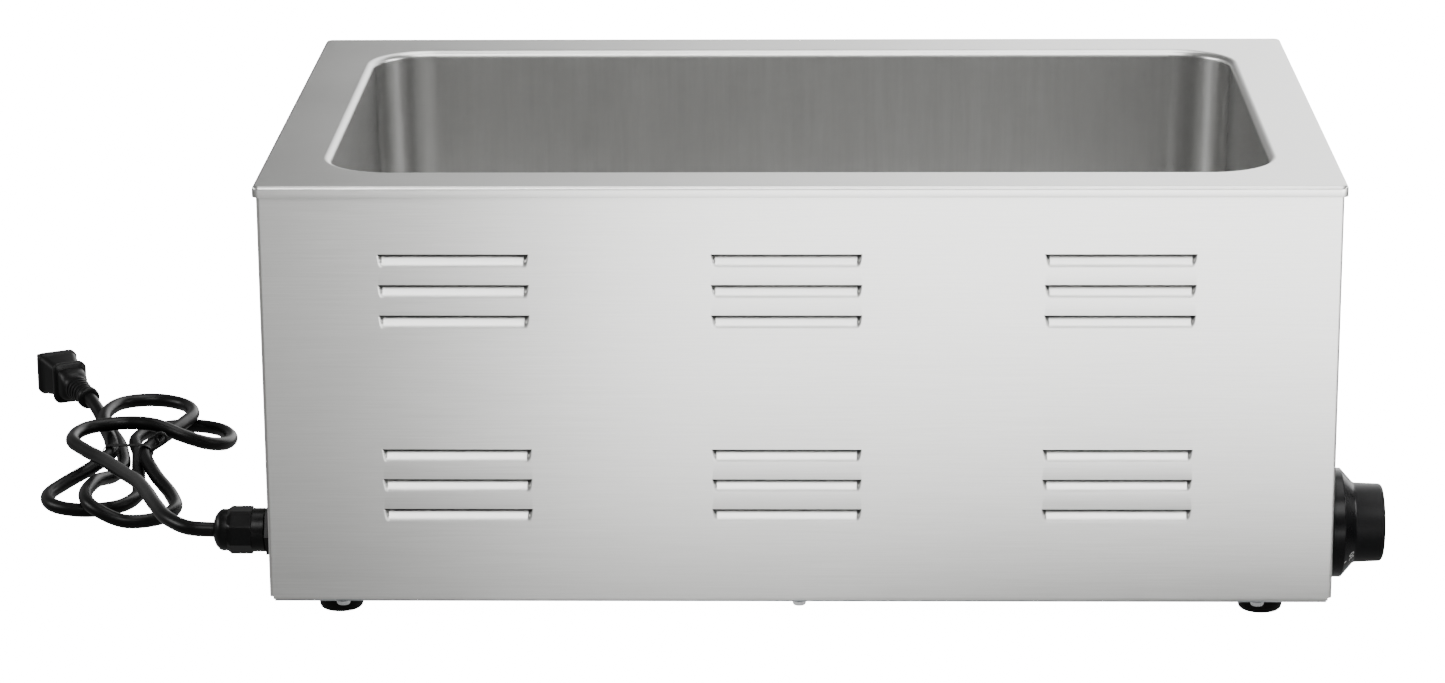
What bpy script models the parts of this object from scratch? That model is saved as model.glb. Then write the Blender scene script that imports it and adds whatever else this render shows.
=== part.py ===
"""Countertop food warmer (steam table unit) with one full-size well.

Metres, +Z up. The origin is on the table under the middle of the housing: +X points to the control
knob, +Y to the rear, and the supply cord leaves the left end.
"""

import math

import bmesh
import bpy
from mathutils import Matrix, Vector

# Deck and well, one drawn sheet
SHEET = 0.001
GAP = 0.0003
DECK_LENGTH = 0.572
DECK_WIDTH = 0.368
DECK_TOP = 0.243
DECK_CORNER = 0.004
LIP_DROP = 0.006
LIP_FOLD = 0.002
OPENING_LENGTH = 0.502
OPENING_WIDTH = 0.299
OPENING_CORNER = 0.034
OPENING_ROLL = 0.004
WELL_DEPTH = 0.160
WELL_TAPER = 0.003
WELL_FLOOR_RADIUS = 0.012

# Housing
HOUSING_LENGTH = 0.568
HOUSING_WIDTH = 0.364
FLANGE = 0.012
FOLD_RADIUS = 0.002
FOOT_HEIGHT = 0.013
BASE_TOP = FOOT_HEIGHT + SHEET
PANEL_BOTTOM = BASE_TOP + GAP
PANEL_TOP = DECK_TOP - SHEET - GAP
END_FACE = HOUSING_LENGTH / 2 - SHEET - GAP
BASE_LENGTH = 0.563
BASE_WIDTH = 0.359

# Louvres pressed into the front and rear panels
LOUVRE_LENGTH = 0.080
LOUVRE_HEIGHT = 0.0078
LOUVRE_DEPTH = 0.0035
LOUVRE_PITCH = 0.0166
LOUVRE_COLUMN_PITCH = 0.175
LOUVRE_OFFSET = -0.0065
LOUVRE_ROW_TOPS = (0.206, 0.099)

# Screws and feet
SCREW_RADIUS = 0.002
SCREW_CLEARANCE = 0.0023
PAN_HEAD_RADIUS = 0.0037
PAN_HEAD_HEIGHT = 0.0026
BASE_SCREW_X = 0.245
BASE_SCREW_Y = 0.176
FOOT_X = 0.249
FOOT_Y = 0.150
FOOT_TOP_RADIUS = 0.013
FOOT_BOTTOM_RADIUS = 0.0115
FOOT_RECESS_RADIUS = 0.0048
FOOT_RECESS_DEPTH = 0.0055

# Thermostat and knob, on one axis along X through the right end panel
KNOB_Y = -0.146
KNOB_Z = 0.047
KNOB_BASE_X = HOUSING_LENGTH / 2 + 0.0008
KNOB_FACE_X = 0.3137
KNOB_SKIRT_RADIUS = 0.0295
KNOB_BAND_HEIGHT = 0.0064
KNOB_SKIRT_HEIGHT = 0.0132
KNOB_GRIP_RADIUS = 0.0215
KNOB_TOP_RADIUS = 0.0210
KNOB_RIM_RADIUS = 0.0022
KNOB_CAVITY = 0.004
SHAFT_RADIUS = 0.003
SHAFT_RUNNING_GAP = 0.0001
SHAFT_INNER_X = 0.264
SHAFT_OUTER_X = 0.3075
SHAFT_FLAT_DEPTH = 0.0005
SHAFT_FLAT_X = 0.292
THERMOSTAT_SIZE = 0.036
THERMOSTAT_FRONT_X = 0.2812
THERMOSTAT_DEPTH = 0.030
THERMOSTAT_SCREW_OFFSET = 0.014
THERMOSTAT_EDGE = 0.0015
BUSH_ROOT = 0.004
BUSH_RADIUS = 0.0045
BUSH_LENGTH = 0.0020
TAB_OFFSET = 0.009
TAB_LENGTH = 0.008
TAB_ROOT = 0.003
TAB_THICKNESS = 0.0008
TAB_WIDTH = 0.0063

# Heating element under the well floor
ELEMENT_RADIUS = 0.004
ELEMENT_RUN_Y = (-0.09, -0.03, 0.03, 0.09)
ELEMENT_LEFT_X = -0.165
ELEMENT_RIGHT_X = 0.125
ELEMENT_RISER_X = 0.205
ELEMENT_END_Z = 0.048
FLOOR_UNDERSIDE = DECK_TOP - WELL_DEPTH - SHEET
ELEMENT_Z = FLOOR_UNDERSIDE - GAP - ELEMENT_RADIUS
CLAMP_X = (-0.10, 0.06)
BULB_RADIUS = 0.0032
BULB_X = (0.100, 0.185)
BULB_Y = 0.06

# Cable gland, through the left end panel
GLAND_Y = -0.149
GLAND_Z = 0.043
GLAND_EXIT_X = -0.317
GLAND_THREAD_RADIUS = 0.0079
GLAND_HOLE_RADIUS = 0.0083
GLAND_NUT_RADIUS = 0.0132
GLAND_NECK_RADIUS = 0.0119
GLAND_DOME_RADIUS = 0.0114
GLAND_HEX = 0.024
GLAND_HEX_HEIGHT = 0.0055
GLAND_BORE_RADIUS = 0.0044
LOCK_NUT_HEX = 0.022
LOCK_NUT_HEIGHT = 0.005

# Supply cord, its tied hank and its plug
CORD_RADIUS = 0.0041
CORD_POINT_SPACING = 0.0165
HANK_HEIGHT = 0.031
PLUG_LENGTH = 0.070
PLUG_FLANGE_HEIGHT = 0.026
BLADE_SPACING = 0.0127
BLADE_LENGTH = 0.0175

# Route of the cord from the gland to the near side of the hank, in millimetres
CORD_ROUTE_TO_HANK = (
    (-317, -149, 43),
    (-331, -147.5, 43.5),
    (-344, -134, 44),
    (-355, -108, 43.5),
    (-365, -76, 41),
    (-375, -45, 37),
    (-380.6, -28.9, 34.3),
)
# Route of its last stretch, from the far side of the hank to the plug, in millimetres
CORD_ROUTE_TO_PLUG = (
    (-432.2, 176.8, 9.6),
    (-434.6, 181.8, 11),
    (-437.2, 187, 12.4),
    (-441.5, 196, 13.3),
)
# The hank's loops lie inside these circles: middle x, y and radius, in millimetres
HANK_LOOPS = (
    (-388, 4, 31),
    (-413.5, 28, 31.5),
    (-408, 93.5, 31.5),
    (-376, 139.5, 33.8),
    (-399.5, 166.5, 31.4),
)

materials = {}


def make_material(name, hex_colour, roughness, metallic=0.0):
    """A plain Principled material whose colour is given as sRGB hex."""
    material = bpy.data.materials.new(name)
    material.use_nodes = True
    shader = material.node_tree.nodes["Principled BSDF"]
    channels = [int(hex_colour[i:i + 2], 16) / 255 for i in (1, 3, 5)]
    linear = [c / 12.92 if c <= 0.04045 else ((c + 0.055) / 1.055) ** 2.4 for c in channels]
    shader.inputs["Base Color"].default_value = (*linear, 1.0)
    shader.inputs["Roughness"].default_value = roughness
    shader.inputs["Metallic"].default_value = metallic
    materials[name] = material


def add_object(name, mesh_source, material, location=(0, 0, 0)):
    """Turns a bmesh into an object with its own copy of the named material."""
    bmesh.ops.recalc_face_normals(mesh_source, faces=mesh_source.faces)
    mesh = bpy.data.meshes.new(name)
    mesh_source.to_mesh(mesh)
    mesh_source.free()
    own = materials[material].copy()
    own.name = name + "_" + material
    mesh.materials.append(own)
    obj = bpy.data.objects.new(name, mesh)
    obj.location = location
    bpy.context.scene.collection.objects.link(obj)
    return obj


def shade_round(obj, angle=math.radians(35)):
    obj.data.shade_smooth()
    obj.data.set_sharp_from_angle(angle=angle)
    return obj


def box_mesh(low, high):
    """A box between two corners."""
    mesh = bmesh.new()
    made = bmesh.ops.create_cube(mesh, size=1.0)["verts"]
    low, high = Vector(low), Vector(high)
    bmesh.ops.scale(mesh, verts=made, vec=high - low)
    bmesh.ops.translate(mesh, verts=made, vec=(high + low) / 2)
    return mesh


def bevel_edges(mesh, edges, width, segments=2):
    bmesh.ops.bevel(
        mesh, geom=edges, offset=width, segments=segments, affect="EDGES", profile=0.5, material=-1
    )


def turned_mesh(profile, segments=32):
    """A solid turned about local Z from (radius, height) points, which start and end on the axis
    or, for a ring, close on themselves."""
    mesh = bmesh.new()
    points = [mesh.verts.new((radius, 0, height)) for radius, height in profile]
    on_axis = profile[0][0] == 0 and profile[-1][0] == 0
    edges = [mesh.edges.new(pair) for pair in zip(points, points[1:])]
    if not on_axis:
        edges.append(mesh.edges.new((points[-1], points[0])))
    bmesh.ops.spin(
        mesh, geom=points + edges, cent=(0, 0, 0), axis=(0, 0, 1), dvec=(0, 0, 0),
        angle=2 * math.pi, steps=segments, use_merge=True, use_duplicate=False,
    )
    bmesh.ops.remove_doubles(mesh, verts=mesh.verts, dist=1e-6)
    return mesh


def hexagon_mesh(across_flats, low, high, bore_radius, segments=24):
    """A nut about local Z with a round bore, made as one ring that bridges hexagon and circle."""
    outer = across_flats / 2 / math.cos(math.pi / 6)
    mesh = bmesh.new()
    rings = []
    for radius, sides, height in (
        (outer, 6, low), (outer, 6, high), (bore_radius, segments, high), (bore_radius, segments, low)
    ):
        made = bmesh.ops.create_circle(mesh, radius=radius, segments=sides, cap_ends=False)["verts"]
        bmesh.ops.translate(mesh, verts=made, vec=(0, 0, height))
        rings.append({edge for vert in made for edge in vert.link_edges})
    for first, second in zip(rings, rings[1:] + rings[:1]):
        bmesh.ops.bridge_loops(mesh, edges=list(first | second))
    return mesh


def aim(obj, direction):
    """Turns an object so that its local Z points along the direction."""
    obj.rotation_mode = "QUATERNION"
    obj.rotation_quaternion = Vector((0, 0, 1)).rotation_difference(Vector(direction))
    return obj


def combine(obj, tool_mesh, operation, place=None):
    """Joins a mesh to the object or cuts it away, with an exact Boolean that is applied at once."""
    bmesh.ops.recalc_face_normals(tool_mesh, faces=tool_mesh.faces)
    data = bpy.data.meshes.new(obj.name + "_tool")
    if place is not None:
        tool_mesh.transform(place)
    tool_mesh.to_mesh(data)
    tool_mesh.free()
    tool = bpy.data.objects.new(obj.name + "_tool", data)
    bpy.context.scene.collection.objects.link(tool)
    tool.hide_render = True
    tool.display_type = "WIRE"
    modifier = obj.modifiers.new(operation.title(), "BOOLEAN")
    modifier.operation = operation
    modifier.solver = "EXACT"
    modifier.object = tool
    bpy.context.view_layer.update()
    evaluated = obj.evaluated_get(bpy.context.evaluated_depsgraph_get())
    result = bpy.data.meshes.new_from_object(evaluated)
    obj.modifiers.clear()
    old = obj.data
    obj.data = result
    bpy.data.meshes.remove(old)
    bpy.data.objects.remove(tool)
    return obj


def cut_holes(obj, radius, low, high, centres, segments=24):
    """Cuts upright round holes through the object at each (x, y)."""
    for x, y in centres:
        tool = turned_mesh([(0, low), (radius, low), (radius, high), (0, high)], segments)
        combine(obj, tool, "DIFFERENCE", Matrix.Translation((x, y, 0)))


def along_x(x, y, z):
    """Places a mesh turned about Z on the X-wise axis through the point."""
    return Matrix.Translation((x, y, z)) @ Matrix.Rotation(math.pi / 2, 4, "Y")


def smooth_line(points, spacing):
    """Points at an even spacing along a centripetal Catmull-Rom curve through the given points."""
    points = [Vector(p) for p in points]
    points = [2 * points[0] - points[1], *points, 2 * points[-1] - points[-2]]
    steps = 16
    line = []
    for p0, p1, p2, p3 in zip(points, points[1:], points[2:], points[3:]):
        t1 = math.sqrt((p1 - p0).length)
        t2 = t1 + math.sqrt((p2 - p1).length)
        t3 = t2 + math.sqrt((p3 - p2).length)
        for step in range(steps):
            t = t1 + (t2 - t1) * step / steps
            a1 = p0.lerp(p1, t / t1)
            a2 = p1.lerp(p2, (t - t1) / (t2 - t1))
            a3 = p2.lerp(p3, (t - t2) / (t3 - t2))
            b1 = a1.lerp(a2, t / t2)
            b2 = a2.lerp(a3, (t - t1) / (t3 - t1))
            line.append(b1.lerp(b2, (t - t1) / (t2 - t1)))
    line.append(points[-2])
    walked = [0.0]
    for first, second in zip(line, line[1:]):
        walked.append(walked[-1] + (second - first).length)
    count = max(2, math.ceil(walked[-1] / spacing) + 1)
    even = []
    piece = 0
    for i in range(count):
        goal = walked[-1] * i / (count - 1)
        while piece < len(line) - 2 and walked[piece + 1] < goal:
            piece += 1
        share = (goal - walked[piece]) / (walked[piece + 1] - walked[piece])
        even.append(line[piece].lerp(line[piece + 1], share))
    return even


def tube(name, points, radius, material, bevel_resolution=2):
    """A round tube with filled ends along the points."""
    curve = bpy.data.curves.new(name, "CURVE")
    curve.dimensions = "3D"
    curve.bevel_depth = radius
    curve.bevel_resolution = bevel_resolution
    curve.use_fill_caps = True
    spline = curve.splines.new("POLY")
    spline.points.add(len(points) - 1)
    for target, point in zip(spline.points, points):
        target.co = (*point, 1.0)
    own = materials[material].copy()
    own.name = name + "_" + material
    curve.materials.append(own)
    obj = bpy.data.objects.new(name, curve)
    bpy.context.scene.collection.objects.link(obj)
    return obj


def screw(name, position, direction, shank_length):
    """A pan-head screw: the head's seat is at the position and the shank points along the direction."""
    profile = [
        (0, -PAN_HEAD_HEIGHT),
        (PAN_HEAD_RADIUS * 0.55, -PAN_HEAD_HEIGHT),
        (PAN_HEAD_RADIUS * 0.9, -PAN_HEAD_HEIGHT * 0.7),
        (PAN_HEAD_RADIUS, -PAN_HEAD_HEIGHT * 0.3),
        (PAN_HEAD_RADIUS, 0),
        (SCREW_RADIUS, 0),
        (SCREW_RADIUS, shank_length - 0.0005),
        (SCREW_RADIUS - 0.0005, shank_length),
        (0, shank_length),
    ]
    obj = add_object(name, turned_mesh(profile, 20), "zinc_steel", position)
    return shade_round(aim(obj, direction))


def rounded_ring(mesh, length, width, radius, height, corner_steps=6):
    """Vertices of one rounded rectangle, counter-clockwise from the rear right corner."""
    ring = []
    for corner in range(4):
        side_x = 1 if corner in (0, 3) else -1
        side_y = 1 if corner in (0, 1) else -1
        centre_x = side_x * (length / 2 - radius)
        centre_y = side_y * (width / 2 - radius)
        for step in range(corner_steps + 1):
            angle = math.pi / 2 * (corner + step / corner_steps)
            x = centre_x + radius * math.cos(angle)
            y = centre_y + radius * math.sin(angle)
            ring.append(mesh.verts.new((x, y, height)))
    return ring


def make_well():
    """Deck, lip and well drawn from one sheet: the outer surface, thickened inwards."""
    mesh = bmesh.new()
    rings = [
        rounded_ring(mesh, DECK_LENGTH, DECK_WIDTH, DECK_CORNER, DECK_TOP - LIP_DROP),
    ]
    for angle in (0, 45, 90):
        inset = LIP_FOLD * (1 - math.cos(math.radians(angle)))
        height = DECK_TOP - LIP_FOLD * (1 - math.sin(math.radians(angle)))
        rings.append(
            rounded_ring(mesh, DECK_LENGTH - 2 * inset, DECK_WIDTH - 2 * inset, DECK_CORNER - inset, height)
        )
    for angle in (0, 30, 60, 90):
        spread = OPENING_ROLL * (1 - math.sin(math.radians(angle)))
        height = DECK_TOP - OPENING_ROLL * (1 - math.cos(math.radians(angle)))
        rings.append(rounded_ring(
            mesh, OPENING_LENGTH + 2 * spread, OPENING_WIDTH + 2 * spread, OPENING_CORNER + spread, height
        ))
    floor = DECK_TOP - WELL_DEPTH
    for angle in (0, 30, 60, 90):
        inset = WELL_TAPER + WELL_FLOOR_RADIUS * (1 - math.cos(math.radians(angle)))
        height = floor + WELL_FLOOR_RADIUS * (1 - math.sin(math.radians(angle)))
        rings.append(rounded_ring(
            mesh, OPENING_LENGTH - 2 * inset, OPENING_WIDTH - 2 * inset, OPENING_CORNER - inset, height
        ))
    for lower, upper in zip(rings, rings[1:]):
        count = len(lower)
        for i in range(count):
            after = (i + 1) % count
            mesh.faces.new((lower[i], lower[after], upper[after], upper[i]))
    mesh.faces.new(rings[-1])
    well = add_object("water_well", mesh, "stainless_bright")
    thicken = well.modifiers.new("Sheet", "SOLIDIFY")
    thicken.thickness = SHEET
    thicken.offset = -1.0
    thicken.use_even_offset = True
    return shade_round(well)


def louvre_prisms(depth, thickness, side_margin, outer_y, facing):
    """Eighteen wedges, one per louvre, deepest at the top. The front face is at facing -1."""
    mesh = bmesh.new()
    half = LOUVRE_LENGTH / 2 + side_margin
    for top in LOUVRE_ROW_TOPS:
        for row in range(3):
            high = top - row * LOUVRE_PITCH
            low = high - LOUVRE_HEIGHT
            for column in (-1, 0, 1):
                middle = LOUVRE_OFFSET + column * LOUVRE_COLUMN_PITCH
                section = (
                    (outer_y, low - side_margin),
                    (outer_y, high),
                    (depth + thickness, high),
                    (thickness, low - side_margin),
                )
                ends = []
                for x in (middle - half, middle + half):
                    ends.append([
                        mesh.verts.new((x, facing * (HOUSING_WIDTH / 2 - inward), z))
                        for inward, z in section
                    ])
                mesh.faces.new(ends[0])
                mesh.faces.new(ends[1][::-1])
                for i in range(4):
                    after = (i + 1) % 4
                    mesh.faces.new((ends[0][i], ends[1][i], ends[1][after], ends[0][after]))
    return mesh


def folded_tray(low, high, open_axis, open_sign, fold_radius):
    """A sheet panel with a flange folded back along each edge: a box opened on one side."""
    outer = box_mesh(low, high)
    closed_value = low[open_axis] if open_sign > 0 else high[open_axis]
    upright = [
        edge for edge in outer.edges
        if abs(edge.verts[0].co.z - edge.verts[1].co.z) > SHEET
        and abs(edge.verts[0].co[open_axis] - closed_value) < SHEET / 10
    ]
    bevel_edges(outer, upright, fold_radius, 3)
    inner_low = [value + SHEET for value in low]
    inner_high = [value - SHEET for value in high]
    if open_sign > 0:
        inner_high[open_axis] = high[open_axis] + SHEET
    else:
        inner_low[open_axis] = low[open_axis] - SHEET
    inner = box_mesh(inner_low, inner_high)
    return outer, inner


def make_long_panel(name, facing):
    """Front or rear panel: flanged all round, with two groups of three rows of louvres."""
    outer_y = facing * HOUSING_WIDTH / 2
    inner_y = facing * (HOUSING_WIDTH / 2 - FLANGE)
    half = HOUSING_LENGTH / 2
    low = [-half, min(outer_y, inner_y), PANEL_BOTTOM]
    high = [half, max(outer_y, inner_y), PANEL_TOP]
    outer, inner = folded_tray(low, high, 1, -facing, FOLD_RADIUS)
    panel = add_object(name, outer, "stainless_brushed")
    combine(panel, inner, "DIFFERENCE")
    hood_margin = SHEET * 0.8
    combine(panel, louvre_prisms(LOUVRE_DEPTH, SHEET, hood_margin, SHEET / 2, facing), "UNION")
    combine(panel, louvre_prisms(LOUVRE_DEPTH, 0, 0, -SHEET, facing), "DIFFERENCE")
    cut_holes(
        panel, SCREW_CLEARANCE, PANEL_BOTTOM - SHEET, PANEL_BOTTOM + 2 * SHEET,
        [(x, facing * BASE_SCREW_Y) for x in (-BASE_SCREW_X, 0, BASE_SCREW_X)], 16,
    )
    return shade_round(panel)


def make_end_panel(name, side):
    """End panel, tucked inside the folded ends of the front and rear panels."""
    half = HOUSING_WIDTH / 2 - SHEET - GAP
    outer_x = side * END_FACE
    inner_x = side * (END_FACE - FLANGE)
    low = [min(outer_x, inner_x), -half, PANEL_BOTTOM + SHEET + GAP]
    high = [max(outer_x, inner_x), half, PANEL_TOP - SHEET - GAP]
    outer, inner = folded_tray(low, high, 0, -side, FOLD_RADIUS / 2)
    panel = add_object(name, outer, "stainless_brushed")
    combine(panel, inner, "DIFFERENCE")
    return panel


def cut_across(obj, radius, x, y, z, half_length=0.004, segments=32):
    """Cuts a round hole along X."""
    profile = [(0, -half_length), (radius, -half_length), (radius, half_length), (0, half_length)]
    combine(obj, turned_mesh(profile, segments), "DIFFERENCE", along_x(x, y, z))


def make_housing():
    make_long_panel("front_panel", -1)
    make_long_panel("rear_panel", 1)
    left = make_end_panel("left_end_panel", -1)
    cut_across(left, GLAND_HOLE_RADIUS, -END_FACE, GLAND_Y, GLAND_Z)
    right = make_end_panel("right_end_panel", 1)
    cut_across(right, 0.0053, END_FACE, KNOB_Y, KNOB_Z)
    for offset in (-THERMOSTAT_SCREW_OFFSET, THERMOSTAT_SCREW_OFFSET):
        cut_across(right, SCREW_CLEARANCE, END_FACE, KNOB_Y, KNOB_Z + offset, segments=16)


def make_base():
    """Base plate, its screws up through the panels' bottom flanges, and four rubber feet."""
    mesh = box_mesh(
        (-BASE_LENGTH / 2, -BASE_WIDTH / 2, FOOT_HEIGHT), (BASE_LENGTH / 2, BASE_WIDTH / 2, BASE_TOP)
    )
    plate = add_object("base_plate", mesh, "galvanised_steel")
    screw_places = [(x, y) for y in (-BASE_SCREW_Y, BASE_SCREW_Y) for x in (-BASE_SCREW_X, 0, BASE_SCREW_X)]
    foot_places = [(x, y) for y in (-FOOT_Y, FOOT_Y) for x in (-FOOT_X, FOOT_X)]
    cut_holes(
        plate, SCREW_CLEARANCE, FOOT_HEIGHT - SHEET, BASE_TOP + SHEET, screw_places + foot_places, 16
    )
    for number, (x, y) in enumerate(screw_places, 1):
        screw(f"base_screw_{number}", (x, y, FOOT_HEIGHT - GAP), (0, 0, 1), 0.008)
    top = FOOT_HEIGHT - GAP
    foot_profile = [
        (FOOT_RECESS_RADIUS, 0),
        (FOOT_BOTTOM_RADIUS - 0.0008, 0),
        (FOOT_BOTTOM_RADIUS, 0.0008),
        (FOOT_TOP_RADIUS, top),
        (SCREW_CLEARANCE, top),
        (SCREW_CLEARANCE, FOOT_RECESS_DEPTH),
        (FOOT_RECESS_RADIUS, FOOT_RECESS_DEPTH),
    ]
    for number, (x, y) in enumerate(foot_places, 1):
        shade_round(add_object(f"foot_{number}", turned_mesh(foot_profile, 28), "rubber", (x, y, 0)))
        screw(f"foot_screw_{number}", (x, y, FOOT_RECESS_DEPTH - GAP), (0, 0, 1), 0.0125)


def shaft_profile_mesh(radius, low, high, flat_from, flat_offset):
    """A shaft along local Z with a flat on one side from flat_from to its outer end."""
    mesh = turned_mesh([(0, low), (radius, low), (radius, high), (0, high)], 32)
    bmesh.ops.bisect_plane(
        mesh, geom=mesh.verts[:] + mesh.edges[:] + mesh.faces[:],
        plane_co=(0, 0, flat_from), plane_no=(0, 0, 1)
    )
    for vert in mesh.verts:
        if vert.co.z > flat_from + 1e-5:
            vert.co.x = min(vert.co.x, flat_offset)
    bmesh.ops.remove_doubles(mesh, verts=mesh.verts, dist=1e-6)
    return mesh


def make_knob_and_thermostat():
    """Thermostat behind the right end panel, its D-flat shaft and the knob that sits on it."""
    axis = Matrix.Rotation(math.pi / 2, 4, "Y")

    body = box_mesh(
        (THERMOSTAT_FRONT_X - THERMOSTAT_DEPTH, KNOB_Y - THERMOSTAT_SIZE / 2, KNOB_Z - THERMOSTAT_SIZE / 2),
        (THERMOSTAT_FRONT_X, KNOB_Y + THERMOSTAT_SIZE / 2, KNOB_Z + THERMOSTAT_SIZE / 2),
    )
    bevel_edges(body, body.edges[:], THERMOSTAT_EDGE, 1)
    thermostat = add_object("thermostat_body", body, "phenolic")
    bush = turned_mesh([
        (0, -BUSH_ROOT), (BUSH_RADIUS, -BUSH_ROOT), (BUSH_RADIUS, BUSH_LENGTH), (0, BUSH_LENGTH)
    ])
    combine(thermostat, bush, "UNION", along_x(THERMOSTAT_FRONT_X, KNOB_Y, KNOB_Z))
    back = THERMOSTAT_FRONT_X - THERMOSTAT_DEPTH
    for offset in (-TAB_OFFSET, TAB_OFFSET):
        blade = box_mesh(
            (back - TAB_LENGTH, KNOB_Y + offset - TAB_THICKNESS / 2, KNOB_Z - TAB_WIDTH / 2),
            (back + TAB_ROOT, KNOB_Y + offset + TAB_THICKNESS / 2, KNOB_Z + TAB_WIDTH / 2),
        )
        combine(thermostat, blade, "UNION")
    bore_radius = SHAFT_RADIUS + SHAFT_RUNNING_GAP
    bore_start = SHAFT_INNER_X - 0.001
    bore_end = THERMOSTAT_FRONT_X + 0.01
    bore = turned_mesh([(0, bore_start), (bore_radius, bore_start), (bore_radius, bore_end), (0, bore_end)])
    combine(thermostat, bore, "DIFFERENCE", along_x(0, KNOB_Y, KNOB_Z))
    for number, offset in enumerate((-THERMOSTAT_SCREW_OFFSET, THERMOSTAT_SCREW_OFFSET), 1):
        cut_across(
            thermostat, SCREW_CLEARANCE, THERMOSTAT_FRONT_X, KNOB_Y, KNOB_Z + offset, 0.010, 16
        )
        screw(
            f"thermostat_screw_{number}", (END_FACE + GAP, KNOB_Y, KNOB_Z + offset), (-1, 0, 0), 0.009
        )

    knob_axis = bpy.data.objects.new("knob_axis", None)
    knob_axis.location = (KNOB_BASE_X, KNOB_Y, KNOB_Z)
    bpy.context.scene.collection.objects.link(knob_axis)

    shaft_mesh = shaft_profile_mesh(
        SHAFT_RADIUS, SHAFT_INNER_X - KNOB_BASE_X, SHAFT_OUTER_X - KNOB_BASE_X,
        SHAFT_FLAT_X - KNOB_BASE_X, SHAFT_RADIUS - SHAFT_FLAT_DEPTH,
    )
    shaft_mesh.transform(axis)
    shaft = shade_round(add_object("thermostat_shaft", shaft_mesh, "zinc_steel"))
    shaft.parent = knob_axis

    face = KNOB_FACE_X - KNOB_BASE_X
    knob_mesh = turned_mesh([
        (0, 0.001),
        (0.0062, 0.001),
        (0.0062, KNOB_CAVITY),
        (0.0205, KNOB_CAVITY),
        (0.0245, 0),
        (KNOB_SKIRT_RADIUS - 0.0004, 0),
        (KNOB_SKIRT_RADIUS, 0.0004),
        (KNOB_SKIRT_RADIUS, KNOB_BAND_HEIGHT),
        (KNOB_GRIP_RADIUS + 0.0005, KNOB_SKIRT_HEIGHT - 0.0006),
        (KNOB_GRIP_RADIUS, KNOB_SKIRT_HEIGHT + 0.0006),
        (KNOB_TOP_RADIUS, face - KNOB_RIM_RADIUS),
        (KNOB_TOP_RADIUS - 0.3 * KNOB_RIM_RADIUS, face - 0.3 * KNOB_RIM_RADIUS),
        (KNOB_TOP_RADIUS - KNOB_RIM_RADIUS, face),
        (0, face),
    ], 48)
    knob_mesh.transform(axis)
    knob = add_object("control_knob", knob_mesh, "knob_black")
    socket = shaft_profile_mesh(
        SHAFT_RADIUS + GAP, -0.002, SHAFT_OUTER_X - KNOB_BASE_X + GAP,
        SHAFT_FLAT_X - KNOB_BASE_X - GAP, SHAFT_RADIUS - SHAFT_FLAT_DEPTH + GAP,
    )
    combine(knob, socket, "DIFFERENCE", axis)
    knob.parent = knob_axis
    shade_round(knob)


def arc(centre, start, middle_normal, angle, steps):
    """Points that turn the start point about the centre."""
    centre, start = Vector(centre), Vector(start)
    turned = []
    for i in range(1, steps + 1):
        rotation = Matrix.Rotation(angle * i / steps, 3, Vector(middle_normal))
        turned.append(centre + rotation @ (start - centre))
    return turned


def make_element():
    """Tubular heating element in four runs under the well floor, clamped by two straps."""
    bend = 0.015
    loop_steps = 8
    turn = (ELEMENT_RUN_Y[1] - ELEMENT_RUN_Y[0]) / 2
    y1, y2, y3, y4 = ELEMENT_RUN_Y
    points = [Vector((ELEMENT_RISER_X, y1, ELEMENT_END_Z))]
    points.append(Vector((ELEMENT_RISER_X, y1, ELEMENT_Z - bend)))
    corner = (ELEMENT_RISER_X - bend, y1, ELEMENT_Z - bend)
    points += arc(corner, points[-1], (0, 1, 0), -math.pi / 2, 5)
    points.append(Vector((ELEMENT_LEFT_X, y1, ELEMENT_Z)))
    points += arc((ELEMENT_LEFT_X, y1 + turn, ELEMENT_Z), points[-1], (0, 0, 1), -math.pi, loop_steps)
    points.append(Vector((ELEMENT_RIGHT_X, y2, ELEMENT_Z)))
    points += arc((ELEMENT_RIGHT_X, y2 + turn, ELEMENT_Z), points[-1], (0, 0, 1), math.pi, loop_steps)
    points.append(Vector((ELEMENT_LEFT_X, y3, ELEMENT_Z)))
    points += arc((ELEMENT_LEFT_X, y3 + turn, ELEMENT_Z), points[-1], (0, 0, 1), -math.pi, loop_steps)
    points.append(Vector((ELEMENT_RISER_X - bend, y4, ELEMENT_Z)))
    corner = (ELEMENT_RISER_X - bend, y4, ELEMENT_Z - bend)
    points += arc(corner, points[-1], (0, 1, 0), math.pi / 2, 5)
    points.append(Vector((ELEMENT_RISER_X, y4, ELEMENT_END_Z)))
    tube("heating_element", points, ELEMENT_RADIUS, "element_sheath")

    strap_top = ELEMENT_Z - ELEMENT_RADIUS - GAP
    strap_bottom = strap_top - 0.0015
    nut_height = 0.0032
    for side, x in zip(("left", "right"), CLAMP_X):
        mesh = box_mesh((x - 0.007, -0.105, strap_bottom), (x + 0.007, 0.105, strap_top))
        strap = add_object(f"element_clamp_{side}", mesh, "galvanised_steel")
        cut_holes(strap, SCREW_CLEARANCE, strap_bottom - SHEET, strap_top + SHEET, [(x, 0)], 16)
        stud_top = FLOOR_UNDERSIDE - GAP
        stud = turned_mesh(
            [(0, 0.062), (SCREW_RADIUS, 0.062), (SCREW_RADIUS, stud_top), (0, stud_top)], 20
        )
        shade_round(add_object(f"clamp_stud_{side}", stud, "zinc_steel", (x, 0, 0)))
        nut = hexagon_mesh(0.007, strap_bottom - GAP - nut_height, strap_bottom - GAP, SCREW_CLEARANCE, 18)
        add_object(f"clamp_nut_{side}", nut, "zinc_steel", (x, 0, 0))


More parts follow.
